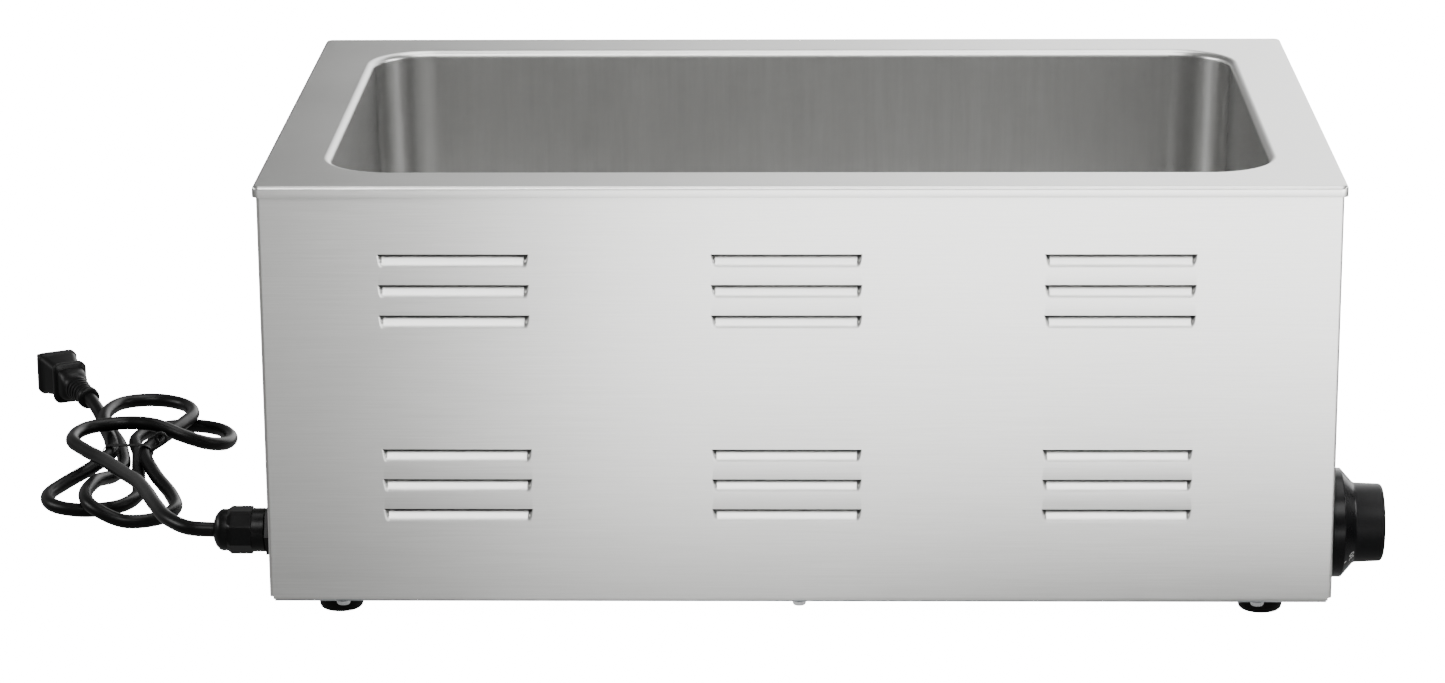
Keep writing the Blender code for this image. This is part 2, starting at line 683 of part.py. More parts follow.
def make_sensor():
    """Thermostat bulb clipped under the well floor, its capillary tube, and the safety cut-out."""
    centre_z = FLOOR_UNDERSIDE - GAP - BULB_RADIUS
    low, high = BULB_X
    bulb = turned_mesh([
        (0, low), (BULB_RADIUS - 0.001, low), (BULB_RADIUS, low + 0.001),
        (BULB_RADIUS, high - 0.001), (BULB_RADIUS - 0.001, high), (0, high),
    ], 20)
    bulb.transform(along_x(0, BULB_Y, centre_z))
    shade_round(add_object("thermostat_bulb", bulb, "copper"))
    clip = box_mesh(
        (0.135, BULB_Y - 0.0046, centre_z - 0.0045), (0.147, BULB_Y + 0.0046, FLOOR_UNDERSIDE - GAP)
    )
    clip_object = add_object("bulb_clip", clip, "galvanised_steel")
    hollow = box_mesh(
        (0.134, BULB_Y - 0.0036, centre_z - 0.0035), (0.148, BULB_Y + 0.0036, FLOOR_UNDERSIDE + SHEET)
    )
    combine(clip_object, hollow, "DIFFERENCE")
    route = (
        (THERMOSTAT_FRONT_X - THERMOSTAT_DEPTH - GAP, KNOB_Y, 0.060),
        (0.238, -0.144, 0.0605),
        (0.226, -0.115, 0.064),
        (0.222, -0.060, 0.069),
        (0.220, 0.000, 0.073),
        (0.214, 0.042, 0.077),
        (0.200, 0.059, centre_z),
        (BULB_X[1] + GAP, BULB_Y, centre_z),
    )
    tube("capillary_tube", smooth_line(route, 0.012), 0.0009, "copper")

    can_top = FLOOR_UNDERSIDE - GAP
    can = turned_mesh([
        (0, can_top - 0.008), (0.0085, can_top - 0.008), (0.009, can_top - 0.0075),
        (0.009, can_top), (0, can_top),
    ], 28)
    cutout = add_object("safety_cutout", can, "phenolic")
    for offset in (-0.0045, 0.0045):
        blade = box_mesh(
            (offset - 0.0004, -0.00315, can_top - 0.016), (offset + 0.0004, 0.00315, can_top - 0.006)
        )
        combine(cutout, blade, "UNION")
    shade_round(cutout)


def make_wiring():
    """Terminal block, earth stud and the leads between the supply cord, thermostat and element."""
    block_low = (-0.225, -0.160, BASE_TOP + GAP)
    block_high = (-0.180, -0.138, 0.034)
    mesh = box_mesh(block_low, block_high)
    bevel_edges(mesh, mesh.edges[:], 0.001, 1)
    add_object("terminal_block", mesh, "ceramic")

    stud_x = -0.150
    stud = turned_mesh([(0, 0.0143), (SCREW_RADIUS, 0.0143), (SCREW_RADIUS, 0.027), (0, 0.027)], 20)
    shade_round(add_object("earth_stud", stud, "zinc_steel", (stud_x, GLAND_Y, 0)))
    nut = hexagon_mesh(0.007, 0.0146, 0.0178, SCREW_CLEARANCE, 18)
    add_object("earth_nut", nut, "zinc_steel", (stud_x, GLAND_Y, 0))

    start_x = block_high[0] + GAP
    rear_x = THERMOSTAT_FRONT_X - THERMOSTAT_DEPTH - 0.008 - GAP
    element_end = ELEMENT_END_Z - 2 * GAP
    cutout_end = FLOOR_UNDERSIDE - GAP - 0.016 - 2 * GAP
    routes = {
        "lead_live": (
            (start_x, -0.156, 0.026), (-0.165, -0.158, 0.024), (-0.120, -0.160, 0.020), (0.0, -0.160, 0.018),
            (0.150, -0.160, 0.020), (0.215, -0.158, 0.032), (0.232, -0.156, 0.045), (rear_x, -0.155, KNOB_Z),
        ),
        "lead_switched": (
            (rear_x, -0.137, KNOB_Z), (0.232, -0.135, 0.045), (0.218, -0.120, 0.035), (0.207, -0.100, 0.033),
            (ELEMENT_RISER_X, -0.09, 0.040), (ELEMENT_RISER_X, -0.09, element_end),
        ),
        "lead_neutral": (
            (start_x, -0.149, 0.028), (-0.166, -0.145, 0.029), (-0.130, -0.120, 0.032),
            (-0.060, -0.060, 0.040),
            (-0.010, -0.005, 0.050), (-0.0045, 0, 0.058), (-0.0045, 0, cutout_end),
        ),
        "lead_return": (
            (0.0045, 0, cutout_end), (0.0045, 0, 0.058), (0.012, 0.006, 0.050), (0.060, 0.050, 0.038),
            (0.140, 0.085, 0.032),
            (0.190, 0.094, 0.032), (ELEMENT_RISER_X, 0.09, 0.040), (ELEMENT_RISER_X, 0.09, element_end),
        ),
        "lead_earth": (
            (start_x, -0.142, 0.026), (-0.170, -0.141, 0.024), (-0.160, -0.145, 0.021),
            (-0.1545, -0.149, 0.0195),
        ),
    }
    for name, route in routes.items():
        tube(name, smooth_line(route, 0.014), 0.0013, name)

    entry = (
        (GLAND_EXIT_X + GAP, GLAND_Y, GLAND_Z), (-0.300, GLAND_Y, GLAND_Z), (-0.275, GLAND_Y, GLAND_Z),
        (-0.262, GLAND_Y, 0.041), (-0.252, GLAND_Y, 0.034), (-0.243, GLAND_Y, 0.027),
        (-0.234, GLAND_Y, 0.025), (block_low[0] - 2 * GAP, GLAND_Y, 0.025),
    )
    tube("supply_cord_inner", smooth_line(entry, 0.010), CORD_RADIUS, "cord_black", 3)


def make_gland():
    """Cable gland: threaded body with a hexagon outside, dome nut and inner lock nut."""
    face = END_FACE + GAP
    thread_start, thread_end = 0.272, 0.300
    hex_mesh = hexagon_mesh(GLAND_HEX, face, face + GLAND_HEX_HEIGHT, GLAND_BORE_RADIUS)
    hex_mesh.transform(Matrix.Rotation(-math.pi / 2, 4, "Y"))
    body = add_object("gland_body", hex_mesh, "nylon_black", (0, GLAND_Y, GLAND_Z))
    thread = turned_mesh([
        (GLAND_BORE_RADIUS, thread_start), (GLAND_THREAD_RADIUS, thread_start),
        (GLAND_THREAD_RADIUS, thread_end), (GLAND_BORE_RADIUS, thread_end),
    ], 24)
    towards_left = Matrix.Rotation(-math.pi / 2, 4, "Y")
    combine(body, thread, "UNION", Matrix.Translation((0, GLAND_Y, GLAND_Z)) @ towards_left)
    dome_start = face + GLAND_HEX_HEIGHT + GAP
    exit_distance = -GLAND_EXIT_X
    dome = turned_mesh([
        (GLAND_HOLE_RADIUS, dome_start),
        (GLAND_NECK_RADIUS, dome_start),
        (GLAND_NECK_RADIUS, exit_distance - 0.0216),
        (GLAND_NUT_RADIUS, exit_distance - 0.0212),
        (GLAND_NUT_RADIUS, exit_distance - 0.0095),
        (GLAND_DOME_RADIUS, exit_distance - 0.0077),
        (GLAND_DOME_RADIUS, exit_distance - 0.0045),
        (GLAND_DOME_RADIUS - 0.0016, exit_distance - 0.0022),
        (GLAND_DOME_RADIUS - 0.0056, exit_distance),
        (CORD_RADIUS + GAP, exit_distance),
        (CORD_RADIUS + GAP, thread_end + 0.001),
        (GLAND_HOLE_RADIUS, thread_end + 0.0015),
    ], 36)
    dome.transform(Matrix.Rotation(-math.pi / 2, 4, "Y"))
    shade_round(add_object("gland_dome_nut", dome, "nylon_black", (0, GLAND_Y, GLAND_Z)))
    inner_face = END_FACE - SHEET - GAP
    lock = hexagon_mesh(LOCK_NUT_HEX, inner_face - LOCK_NUT_HEIGHT, inner_face, GLAND_HOLE_RADIUS)
    lock.transform(Matrix.Rotation(-math.pi / 2, 4, "Y"))
    add_object("gland_lock_nut", lock, "nylon_black", (0, GLAND_Y, GLAND_Z))


def in_metres(points):
    return [Vector(point) / 1000 for point in points]


def make_cord():
    """Supply cord outside the gland: a free stretch, a tied hank and the last stretch to the plug."""
    route = smooth_line(in_metres(CORD_ROUTE_TO_HANK), CORD_POINT_SPACING)
    route[0].x -= GAP
    tube("power_cord", route, CORD_RADIUS, "cord_black", 3)

    mesh = bmesh.new()
    for x, y, radius in HANK_LOOPS:
        for height in (GAP, HANK_HEIGHT):
            made = bmesh.ops.create_circle(mesh, radius=radius / 1000, segments=32, cap_ends=False)["verts"]
            bmesh.ops.translate(mesh, verts=made, vec=(x / 1000, y / 1000, height))
    hull = bmesh.ops.convex_hull(mesh, input=mesh.verts[:], use_existing_faces=False)
    spare = {item for key in ("geom_interior", "geom_unused") for item in hull[key]}
    spare_verts = [item for item in spare if isinstance(item, bmesh.types.BMVert)]
    bmesh.ops.delete(mesh, geom=spare_verts, context="VERTS")
    loose = [edge for edge in mesh.edges if not edge.link_faces]
    bmesh.ops.delete(mesh, geom=loose, context="EDGES")
    add_object("cord_hank", mesh, "cord_black")

    tail = smooth_line(in_metres(CORD_ROUTE_TO_PLUG), 0.008)
    tube("power_cord_tail", tail, CORD_RADIUS, "cord_black", 3)


def make_plug():
    """Moulded plug lying on its edge, with its strain relief towards the cord."""
    route = in_metres(CORD_ROUTE_TO_PLUG)
    start = route[-1]
    direction = Vector((-0.45, 0.893, 0)).normalized()
    start = start + direction * GAP
    place = Matrix.Translation(start) @ Matrix(
        (direction, Vector((0, 0, 1)), direction.cross(Vector((0, 0, 1))))
    ).transposed().to_4x4()
    flange_start = PLUG_LENGTH - 0.006
    body_start = 0.030
    half_height = PLUG_FLANGE_HEIGHT / 2

    relief = turned_mesh([
        (0, 0), (0.0055, 0), (0.0058, 0.0008), (0.0078, body_start + 0.001), (0, body_start + 0.001),
    ], 24)
    relief.transform(Matrix.Rotation(math.pi / 2, 4, "Y"))
    plug = add_object("plug_body", relief, "plug_black")
    for low, high, edge in (
        ((body_start, -0.0105, -0.0095), (flange_start + 0.001, 0.0105, 0.0095), 0.003),
        ((body_start + 0.008, -0.0127, -0.0105), (body_start + 0.014, 0.0127, 0.0105), 0.002),
        ((flange_start, -half_height, -0.0125), (PLUG_LENGTH, half_height, 0.0125), 0.0015),
    ):
        block = box_mesh(low, high)
        bevel_edges(block, block.edges[:], edge, 2)
        combine(plug, block, "UNION")
    plug.matrix_world = place
    shade_round(plug)

    face = PLUG_LENGTH + GAP
    for name, height in (("blade_live", BLADE_SPACING / 2), ("blade_neutral", -BLADE_SPACING / 2)):
        blade = box_mesh(
            (face, height - 0.00075, -0.0077), (face + BLADE_LENGTH, height + 0.00075, -0.00135)
        )
        tip = [edge for edge in blade.edges if min(v.co.x for v in edge.verts) > face + BLADE_LENGTH - 1e-5]
        bevel_edges(blade, tip, 0.0004, 1)
        obj = add_object(name, blade, "nickel_plate")
        obj.matrix_world = place
    pin = turned_mesh([
        (0, face), (0.0024, face), (0.0024, face + 0.0195), (0.0014, face + 0.021), (0, face + 0.021),
    ], 20)
    pin.transform(Matrix.Translation((0, 0, 0.0074)) @ Matrix.Rotation(math.pi / 2, 4, "Y"))
    obj = add_object("earth_pin", pin, "nickel_plate")
    obj.matrix_world = place
    shade_round(obj)


def main():
    for obj in list(bpy.data.objects):
        bpy.data.objects.remove(obj)
    make_material("stainless_bright", "#c9cacb", 0.28, 1.0)
    make_material("stainless_brushed", "#bfc0c1", 0.36, 1.0)
    make_material("galvanised_steel", "#a9adb0", 0.5, 1.0)
    make_material("zinc_steel", "#b4b6b8", 0.35, 1.0)
    make_material("rubber", "#161616", 0.8)
    make_material("knob_black", "#17181a", 0.55)
    make_material("nylon_black", "#131314", 0.5)
    make_material("cord_black", "#141415", 0.5)
    make_material("plug_black", "#121213", 0.5)
    make_material("nickel_plate", "#c8c9c6", 0.25, 1.0)
    make_material("phenolic", "#2a2522", 0.6)
    make_material("ceramic", "#e6e2d8", 0.4)
    make_material("copper", "#b87350", 0.3, 1.0)
    make_material("element_sheath", "#5f5a55", 0.5, 1.0)
    make_material("lead_live", "#1c1c1c", 0.5)
    make_material("lead_switched", "#a3231d", 0.5)
    make_material("lead_neutral", "#e4e2dc", 0.5)
    make_material("lead_return", "#dcdad2", 0.5)
    make_material("lead_earth", "#2f7a3b", 0.5)
    make_well()
    make_housing()
    make_base()
    make_knob_and_thermostat()
    make_element()
    make_sensor()
    make_wiring()
    make_gland()
    make_cord()
    make_plug()


main()
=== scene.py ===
"""Finishes and fine surfaces of a countertop food warmer with one full-size well.

Metres, +Z up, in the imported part's own frame: the control knob is at +X, the rear at +Y, and the
supply cord leaves the left end.
"""

import math

import bmesh
import bpy
from mathutils import Matrix, Vector


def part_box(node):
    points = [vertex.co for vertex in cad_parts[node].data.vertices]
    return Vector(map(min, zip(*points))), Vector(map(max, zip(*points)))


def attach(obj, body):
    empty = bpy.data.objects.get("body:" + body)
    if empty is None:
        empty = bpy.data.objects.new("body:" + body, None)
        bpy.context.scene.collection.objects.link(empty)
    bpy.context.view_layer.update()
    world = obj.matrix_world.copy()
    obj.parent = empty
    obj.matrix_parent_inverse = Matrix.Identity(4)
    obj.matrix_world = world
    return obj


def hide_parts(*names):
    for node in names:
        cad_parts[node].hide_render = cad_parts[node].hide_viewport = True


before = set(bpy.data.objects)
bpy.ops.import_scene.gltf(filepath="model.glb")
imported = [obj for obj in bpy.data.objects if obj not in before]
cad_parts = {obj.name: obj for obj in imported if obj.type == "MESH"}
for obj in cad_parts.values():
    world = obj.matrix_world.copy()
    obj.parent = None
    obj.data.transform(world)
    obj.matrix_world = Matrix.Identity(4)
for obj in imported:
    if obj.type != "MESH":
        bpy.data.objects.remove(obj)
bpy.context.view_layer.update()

MM = 0.001
NEAR = 0.01 * MM  # places closer than this count as the same one
BROAD_TONE = 120 * MM  # size of the faint, broad changes of tone on every surface
BASE_TONE = 0.2  # how far every surface starts towards its second shade
MOULDED_GLOSS = 0.13  # reflection level of every moulded face, duller than plain resin

# Camera
CAMERA_PLACE = (0.0133, -2.4181, 0.7991)
CAMERA_DOWN = 15.98
CAMERA_LEFT = 1.37
CAMERA_ROLL = -0.37
CAMERA_LENS = 110.14
SENSOR_WIDTH = 36

# Sheet metal
SHEET = 1.0 * MM
FOLD_RADIUS = 2.0 * MM
FLANGE_FOLD = 1.5 * MM
FLANGE = 12 * MM
OPENING_CORNER = 34 * MM
OPENING_ROLL = 4 * MM
ROLL_ON_DECK = 0.6  # share of the roll that is finished with the deck, not with the well
OPENING_LENGTH = 502 * MM
OPENING_WIDTH = 299 * MM
WELL_DEPTH = 160 * MM
WELL_TAPER = 3 * MM
WELL_FLOOR_RADIUS = 12 * MM
DECK_CORNER = 4 * MM
LIP_DROP = 6 * MM
LIP_FOLD = 2 * MM

# Louvres
LOUVRE_LENGTH = 80 * MM
LOUVRE_HEIGHT = 7.8 * MM
LOUVRE_DEPTH = 3.5 * MM
LOUVRE_PITCH = 16.6 * MM
LOUVRE_COLUMN_PITCH = 175 * MM
LOUVRE_OFFSET = -6.5 * MM
LOUVRE_ROW_TOPS = (206 * MM, 99 * MM)
LOUVRE_LIP_DROP = 1.0 * MM
LOUVRE_END_SLANT = 1.0 * MM
LOUVRE_END_RUN = 2.8 * MM
LOUVRE_END_CUTS = (0, 0.2, 0.4, 0.6, 0.8, 1.0, 2.2)  # edge lines at each end, in end runs
LOUVRE_CUTS = (0, 0.12, 0.3, 0.5, 0.66, 0.8, 0.9, 1)  # edge lines down it, in louvre heights
LOUVRE_ROOT = 0.45  # share of its height in which it curves out of the sheet
FLANGE_NOTCH = 1.9 * MM  # cut from each corner so that the folds clear each other

# Supply cord
CORD_RADIUS = 4.1 * MM
PLUG_DIRECTION = (-0.45, 0.893, 0)
PLUG_LENGTH = 70 * MM
BLADE_SPACING = 12.7 * MM
BLADE_LENGTH = 17.5 * MM
BLADE_THICKNESS = 1.5 * MM
BLADE_LOW = -7.7 * MM
BLADE_HIGH = -1.35 * MM
BLADE_TIP = 1.2 * MM
BLADE_HOLE_RADIUS = 1.6 * MM
BLADE_HOLE_BACK = 5.2 * MM
EARTH_PIN_OFFSET = 7.4 * MM
EARTH_PIN_RADIUS = 2.4 * MM
EARTH_PIN_LENGTH = 21 * MM
EARTH_PIN_ROUNDING = 0.8 * MM
GAP = 0.3 * MM

# Whole route of the cord, from the gland through its tied hank to the plug, in millimetres
CORD_ROUTE = (
    # from the gland over the near end of the hank
    (-317, -149, 43), (-331, -147.5, 43.5), (-344, -134, 44), (-355, -108, 43.5), (-365, -76, 41),
    (-375, -45, 37), (-386, -16, 32), (-397, 11, 28), (-408.5, 36, 25), (-422, 59, 23),
    # round to the right above the waist
    (-433.5, 83.5, 21.8), (-429, 108.5, 21.2), (-408, 120, 21), (-388.5, 115, 21.2),
    # right loop, on the table
    (-372.5, 111, 16), (-358, 115.5, 9.8), (-349, 127.5, 5.8), (-347.5, 145, 4.5), (-357, 161, 4.5),
    (-377, 168.5, 4.5), (-396.5, 160, 4.5), (-404.5, 140, 4.5), (-399, 112, 4.5), (-395.2, 86, 4.5),
    # left loop, on the table
    (-391, 58, 4.5), (-387.5, 28, 4.5), (-395, 9, 4.5), (-413.5, 1.6, 4.5), (-432.2, 9.3, 4.5),
    (-439.7, 28.5, 4.5), (-433, 50, 5.5), (-420.5, 68, 9), (-411.8, 88, 12),
    # far loop, lying on the right loop
    (-415.5, 112, 12.4), (-423, 138, 13.6), (-425.5, 160, 15), (-418.5, 184, 14.4),
    (-400, 192.8, 13.6), (-381.3, 184.5, 13), (-373.3, 166, 13), (-377, 144, 12.9),
    (-385, 118, 12.4), (-391.3, 90, 12.3),
    # near loop, lying on the left loop
    (-381.5, 58, 9), (-367.5, 30, 4.5), (-362.2, 4, 4.5), (-370, -14, 4.5), (-388, -21.8, 5.8),
    (-406.2, -14, 11.5), (-413.5, 4, 12.9), (-412, 34, 11.8), (-406.5, 62, 6), (-404.2, 86, 4.5),
    # under the far loop to the plug
    (-408.2, 110, 4.5), (-413.4, 131, 4.5), (-419, 147, 4.5), (-425.4, 161, 5.6), (-431.4, 175, 9),
    (-437.2, 187, 12.4), (-441.5, 196, 13.3),
)


def linear(shade):
    """An sRGB hex colour as linear red, green and blue with full alpha."""
    parts = [int(shade[i : i + 2], 16) / 255 for i in (1, 3, 5)]
    return [p / 12.92 if p <= 0.04045 else ((p + 0.055) / 1.055) ** 2.4 for p in parts] + [1.0]


def add_node(tree, kind, inputs=None, **settings):
    """Adds a node; an input given a socket is linked, and one given a value is set."""
    node = tree.nodes.new(kind)
    for name, value in settings.items():
        setattr(node, name, value)
    for name, value in (inputs or {}).items():
        if isinstance(value, bpy.types.NodeSocket):
            tree.links.new(value, node.inputs[name])
        else:
            node.inputs[name].default_value = value
    return node


def start_material(name, **constants):
    """A material with one shader, whose constant values are set on its own sockets."""
    material = bpy.data.materials.new(name)
    material.use_nodes = True
    tree = material.node_tree
    tree.nodes.clear()
    values = {key.replace("_", " "): value for key, value in constants.items()}
    shader = add_node(tree, "ShaderNodeBsdfPrincipled", values)
    add_node(tree, "ShaderNodeOutputMaterial", {"Surface": shader.outputs["BSDF"]})
    return material, tree, shader


def mixed(tree, factor, first, second):
    """Colours or colour sockets, from the first to the second by the factor."""
    inputs = {"Factor": factor, 6: first, 7: second}
    return add_node(tree, "ShaderNodeMix", inputs, data_type="RGBA").outputs[2]


def ranged(tree, value, low, high):
    """A value from 0 to 1 spread from low to high."""
    inputs = {"Value": value, "To Min": low, "To Max": high}
    return add_node(tree, "ShaderNodeMapRange", inputs).outputs["Result"]


def patterned(tree, shader, place, size, shades, roughness, bump):
    """Colour, roughness and height follow one noise pattern, with marks of the given size."""
    spread = add_node(
        tree, "ShaderNodeMapping", {"Vector": place, "Scale": [1 / side for side in size]}
    )
    noise = add_node(
        tree,
        "ShaderNodeTexNoise",
        {"Vector": spread.outputs["Vector"], "Scale": 1.0, "Detail": 3.0, "Roughness": 0.6},
    )
    marks = add_node(
        tree,
        "ShaderNodeMapRange",
        {"Value": noise.outputs["Fac"], "From Min": 0.3, "From Max": 0.7},
    )
    broad = add_node(
        tree, "ShaderNodeTexNoise", {"Vector": place, "Scale": 1 / BROAD_TONE, "Detail": 2.0}
    )
    blend = add_node(
        tree,
        "ShaderNodeMath",
        {0: marks.outputs["Result"], 1: broad.outputs["Fac"], 2: BASE_TONE},
        operation="MULTIPLY_ADD",
    )
    level = blend.outputs["Value"]
    colour = mixed(tree, level, linear(shades[0]), linear(shades[1]))
    tree.links.new(colour, shader.inputs["Base Color"])
    tree.links.new(ranged(tree, level, *roughness), shader.inputs["Roughness"])
    if bump:
        height = add_node(
            tree,
            "ShaderNodeBump",
            {"Strength": 1.0, "Distance": bump, "Height": marks.outputs["Result"]},
        )
        tree.links.new(height.outputs["Normal"], shader.inputs["Normal"])


def brushed_steel(name, shades, grain, across, roughness, bump, stretch):
    """Stainless sheet sanded one way: fine lines, and reflections drawn out across them."""
    material, tree, shader = start_material(name, Metallic=1.0, Anisotropic=stretch)
    place = add_node(tree, "ShaderNodeTexCoord").outputs["Object"]
    patterned(tree, shader, place, grain, shades, roughness, bump)
    tangent = add_node(tree, "ShaderNodeCombineXYZ", dict(zip("XYZ", across)))
    tree.links.new(tangent.outputs["Vector"], shader.inputs["Tangent"])
    return material


def plain_metal(name, shades, mark, roughness):
    """A plated, drawn or cast metal face with marks of one size in every direction."""
    material, tree, shader = start_material(name, Metallic=1.0)
    place = add_node(tree, "ShaderNodeTexCoord").outputs["Object"]
    patterned(tree, shader, place, (mark, mark, mark), shades, roughness, 0.0)
    return material


def moulded(name, shades, grit, roughness, bump, ior=1.5, coat=0.0):
    """A moulded plastic, rubber or fired face with an even grit."""
    material, tree, shader = start_material(
        name, IOR=ior, Coat_Weight=coat, Specular_IOR_Level=MOULDED_GLOSS
    )
    place = add_node(tree, "ShaderNodeTexCoord").outputs["Object"]
    patterned(tree, shader, place, (grit, grit, grit), shades, roughness, bump)
    return material


# Stainless sheet, sanded along X with a belt. The real lines are about 0.2 mm apart and are drawn
# at 0.9 mm so that they show; they give a soft sheen that is drawn out up and down.
panel_steel = brushed_steel(
    "panel_steel", ("#bfbfbd", "#d0d0ce"), (45 * MM, 0.9 * MM, 0.9 * MM), (0, 0, 1),
    (0.30, 0.38), 0.006 * MM, 0.75,
)
# The same sheet on the two ends, with its grain running front to back.
end_steel = brushed_steel(
    "end_steel", ("#bfbfbd", "#d0d0ce"), (0.9 * MM, 45 * MM, 0.9 * MM), (0, 0, 1),
    (0.30, 0.38), 0.006 * MM, 0.75,
)
# The same sheet on the deck, where the sheen is drawn out front to back.
deck_steel = brushed_steel(
    "deck_steel", ("#bcbcba", "#cececc"), (45 * MM, 0.9 * MM, 0.9 * MM), (0, 1, 0),
    (0.30, 0.38), 0.006 * MM, 0.6,
)
# Deep-drawn stainless of the well: pulled smooth, with faint upright draw marks.
well_steel = brushed_steel(
    "well_steel", ("#b4b4b3", "#bdbdbc"), (3 * MM, 3 * MM, 60 * MM), (0, 0, 1),
    (0.27, 0.31), 0.0, 0.4,
)
# Bright zinc plate on the screws, studs, nuts and shaft: shiny with a faint milky mottle.
zinc_plate = plain_metal("zinc_plate", ("#b4b6b8", "#cfd1d3"), 2 * MM, (0.22, 0.36))
# Nickel plate over brass on the plug's blades: a warm even shine.
nickel_plate = plain_metal("nickel_plate", ("#c9c6bd", "#dad8d1"), 1.5 * MM, (0.18, 0.28))
# Heat-darkened alloy tube of the heating element: dull and faintly straw and blue.
element_sheath = plain_metal("element_sheath", ("#55504b", "#6e6a66"), 9 * MM, (0.42, 0.58))
# Bare copper of the capillary and bulb: slightly dulled by handling.
bare_copper = plain_metal("bare_copper", ("#a5643f", "#c98960"), 5 * MM, (0.28, 0.44))

# Moulded rubber of the feet: matt, with a fine grit.
foot_rubber = moulded("foot_rubber", ("#040404", "#090909"), 0.8 * MM, (0.62, 0.78), 0.02 * MM)
# Phenolic of the knob's grip: matt black with a very fine moulded grit.
knob_grip = moulded("knob_grip", ("#060607", "#0b0b0c"), 0.7 * MM, (0.42, 0.50), 0.004 * MM)
# The knob's skirt comes from a polished part of the mould, so it is glossier.
knob_skirt = moulded("knob_skirt", ("#050506", "#09090a"), 5 * MM, (0.26, 0.30), 0.0)
# White ink pressed onto the skirt: flat and slightly uneven.
dial_ink = moulded("dial_ink", ("#d8d8d6", "#ececea"), 0.5 * MM, (0.50, 0.60), 0.0)
# Glass-filled nylon of the gland: black with a satin, slightly streaked face.
gland_nylon = moulded(
    "gland_nylon", ("#040404", "#080808"), 1.5 * MM, (0.30, 0.40), 0.006 * MM, 1.53
)
# Soft vinyl jacket of the cord: black, drawn smooth, with an even satin shine.
cord_vinyl = moulded("cord_vinyl", ("#040404", "#090909"), 1.6 * MM, (0.32, 0.42), 0.01 * MM, 1.53)
# Harder vinyl of the plug: black, moulded, with a fine spark-eroded grit.
plug_vinyl = moulded("plug_vinyl", ("#040404", "#080808"), 0.6 * MM, (0.36, 0.46), 0.01 * MM, 1.53)
# Vinyl strip over wire of the twist tie.
tie_vinyl = moulded("tie_vinyl", ("#111111", "#191919"), 1 * MM, (0.35, 0.45), 0.0, 1.53)
# Dark phenolic bodies of the thermostat and the cut-out.
dark_phenolic = moulded(
    "dark_phenolic", ("#221e1b", "#332d29"), 1.5 * MM, (0.40, 0.50), 0.01 * MM, 1.6
)
# Glazed ceramic of the terminal block: off-white with a wet shine.
glazed_ceramic = moulded(
    "glazed_ceramic", ("#dcd8ce", "#ece9e1"), 6 * MM, (0.10, 0.18), 0.0, 1.55, 0.4
)
# Silicone sleeves of the inner leads: satin, one colour each.
lead_black, lead_red, lead_white, lead_green = (
    moulded(f"lead_{colour}", shades, 2 * MM, (0.45, 0.55), 0.0)
    for colour, shades in (
        ("black", ("#171717", "#222222")), ("red", ("#8f1c17", "#a5251e")),
        ("white", ("#d6d4cd", "#e6e4de")), ("green", ("#256a33", "#34803f")),
    )
)


def galvanised_sheet():
    """Hot-dipped zinc: flat grey crystals about 8 mm across, each with its own tone and gloss."""
    material, tree, shader = start_material("galvanised_sheet", Metallic=1.0)
    place = add_node(tree, "ShaderNodeTexCoord").outputs["Object"]
    crystals = add_node(
        tree, "ShaderNodeTexVoronoi", {"Vector": place, "Scale": 1 / (8 * MM), "Randomness": 1.0}
    )
    tone = add_node(tree, "ShaderNodeSeparateColor", {"Color": crystals.outputs["Color"]})
    colour = mixed(tree, tone.outputs["Red"], linear("#8f9396"), linear("#b3b7b9"))
    gloss = ranged(tree, tone.outputs["Green"], 0.38, 0.56)
    tree.links.new(colour, shader.inputs["Base Color"])
    tree.links.new(gloss, shader.inputs["Roughness"])
    return material


galvanised = galvanised_sheet()

# Finishes of the nodes that keep their own shape
NODE_FINISHES = {
    end_steel: ("left_end_panel", "right_end_panel"),
    galvanised: ("base_plate", "element_clamp_left", "element_clamp_right", "bulb_clip"),
    zinc_plate: (
        "thermostat_screw_1", "thermostat_screw_2", "thermostat_shaft", "clamp_stud_left",
        "clamp_stud_right", "clamp_nut_left", "clamp_nut_right", "earth_stud", "earth_nut",
    ),
    dark_phenolic: ("thermostat_body", "safety_cutout"),
    glazed_ceramic: ("terminal_block",),
    element_sheath: ("heating_element",),
    bare_copper: ("capillary_tube", "thermostat_bulb"),
    gland_nylon: ("gland_body", "gland_lock_nut"),
    cord_vinyl: ("supply_cord_inner",),
    lead_black: ("lead_live",),
    lead_red: ("lead_switched",),
    lead_white: ("lead_neutral", "lead_return"),
    lead_green: ("lead_earth",),
}
for finish, nodes in NODE_FINISHES.items():
    for node in nodes:
        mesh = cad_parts[node].data
        mesh.materials.clear()
        mesh.materials.append(finish)


def add_object(name, data):
    """An object for the data, linked to the scene."""
    made = bpy.data.objects.new(name, data)
    bpy.context.scene.collection.objects.link(made)
    return made


def verts_of(made):
    """The vertices among what an operator made."""
    return [part for part in made if isinstance(part, bmesh.types.BMVert)]


def edges_of(made):
    """The edges among what an operator made."""
    return [part for part in made if isinstance(part, bmesh.types.BMEdge)]


def draw_ring(shape, places):
    """New vertices at the places, and the closed line of edges through them."""
    ring = [shape.verts.new(place) for place in places]
    return ring, [shape.edges.new(pair) for pair in zip(ring, ring[1:] + ring[:1])]


def face_outwards(shape, direction=None):
    """Merges doubles and turns the faces outwards, or an open shell's faces along the direction."""
    bmesh.ops.remove_doubles(shape, verts=shape.verts, dist=0.002 * MM)
    bmesh.ops.recalc_face_normals(shape, faces=shape.faces)
    if direction:
        shape.normal_update()
        if sum(face.calc_area() * face.normal.dot(Vector(direction)) for face in shape.faces) < 0:
            bmesh.ops.reverse_faces(shape, faces=shape.faces)


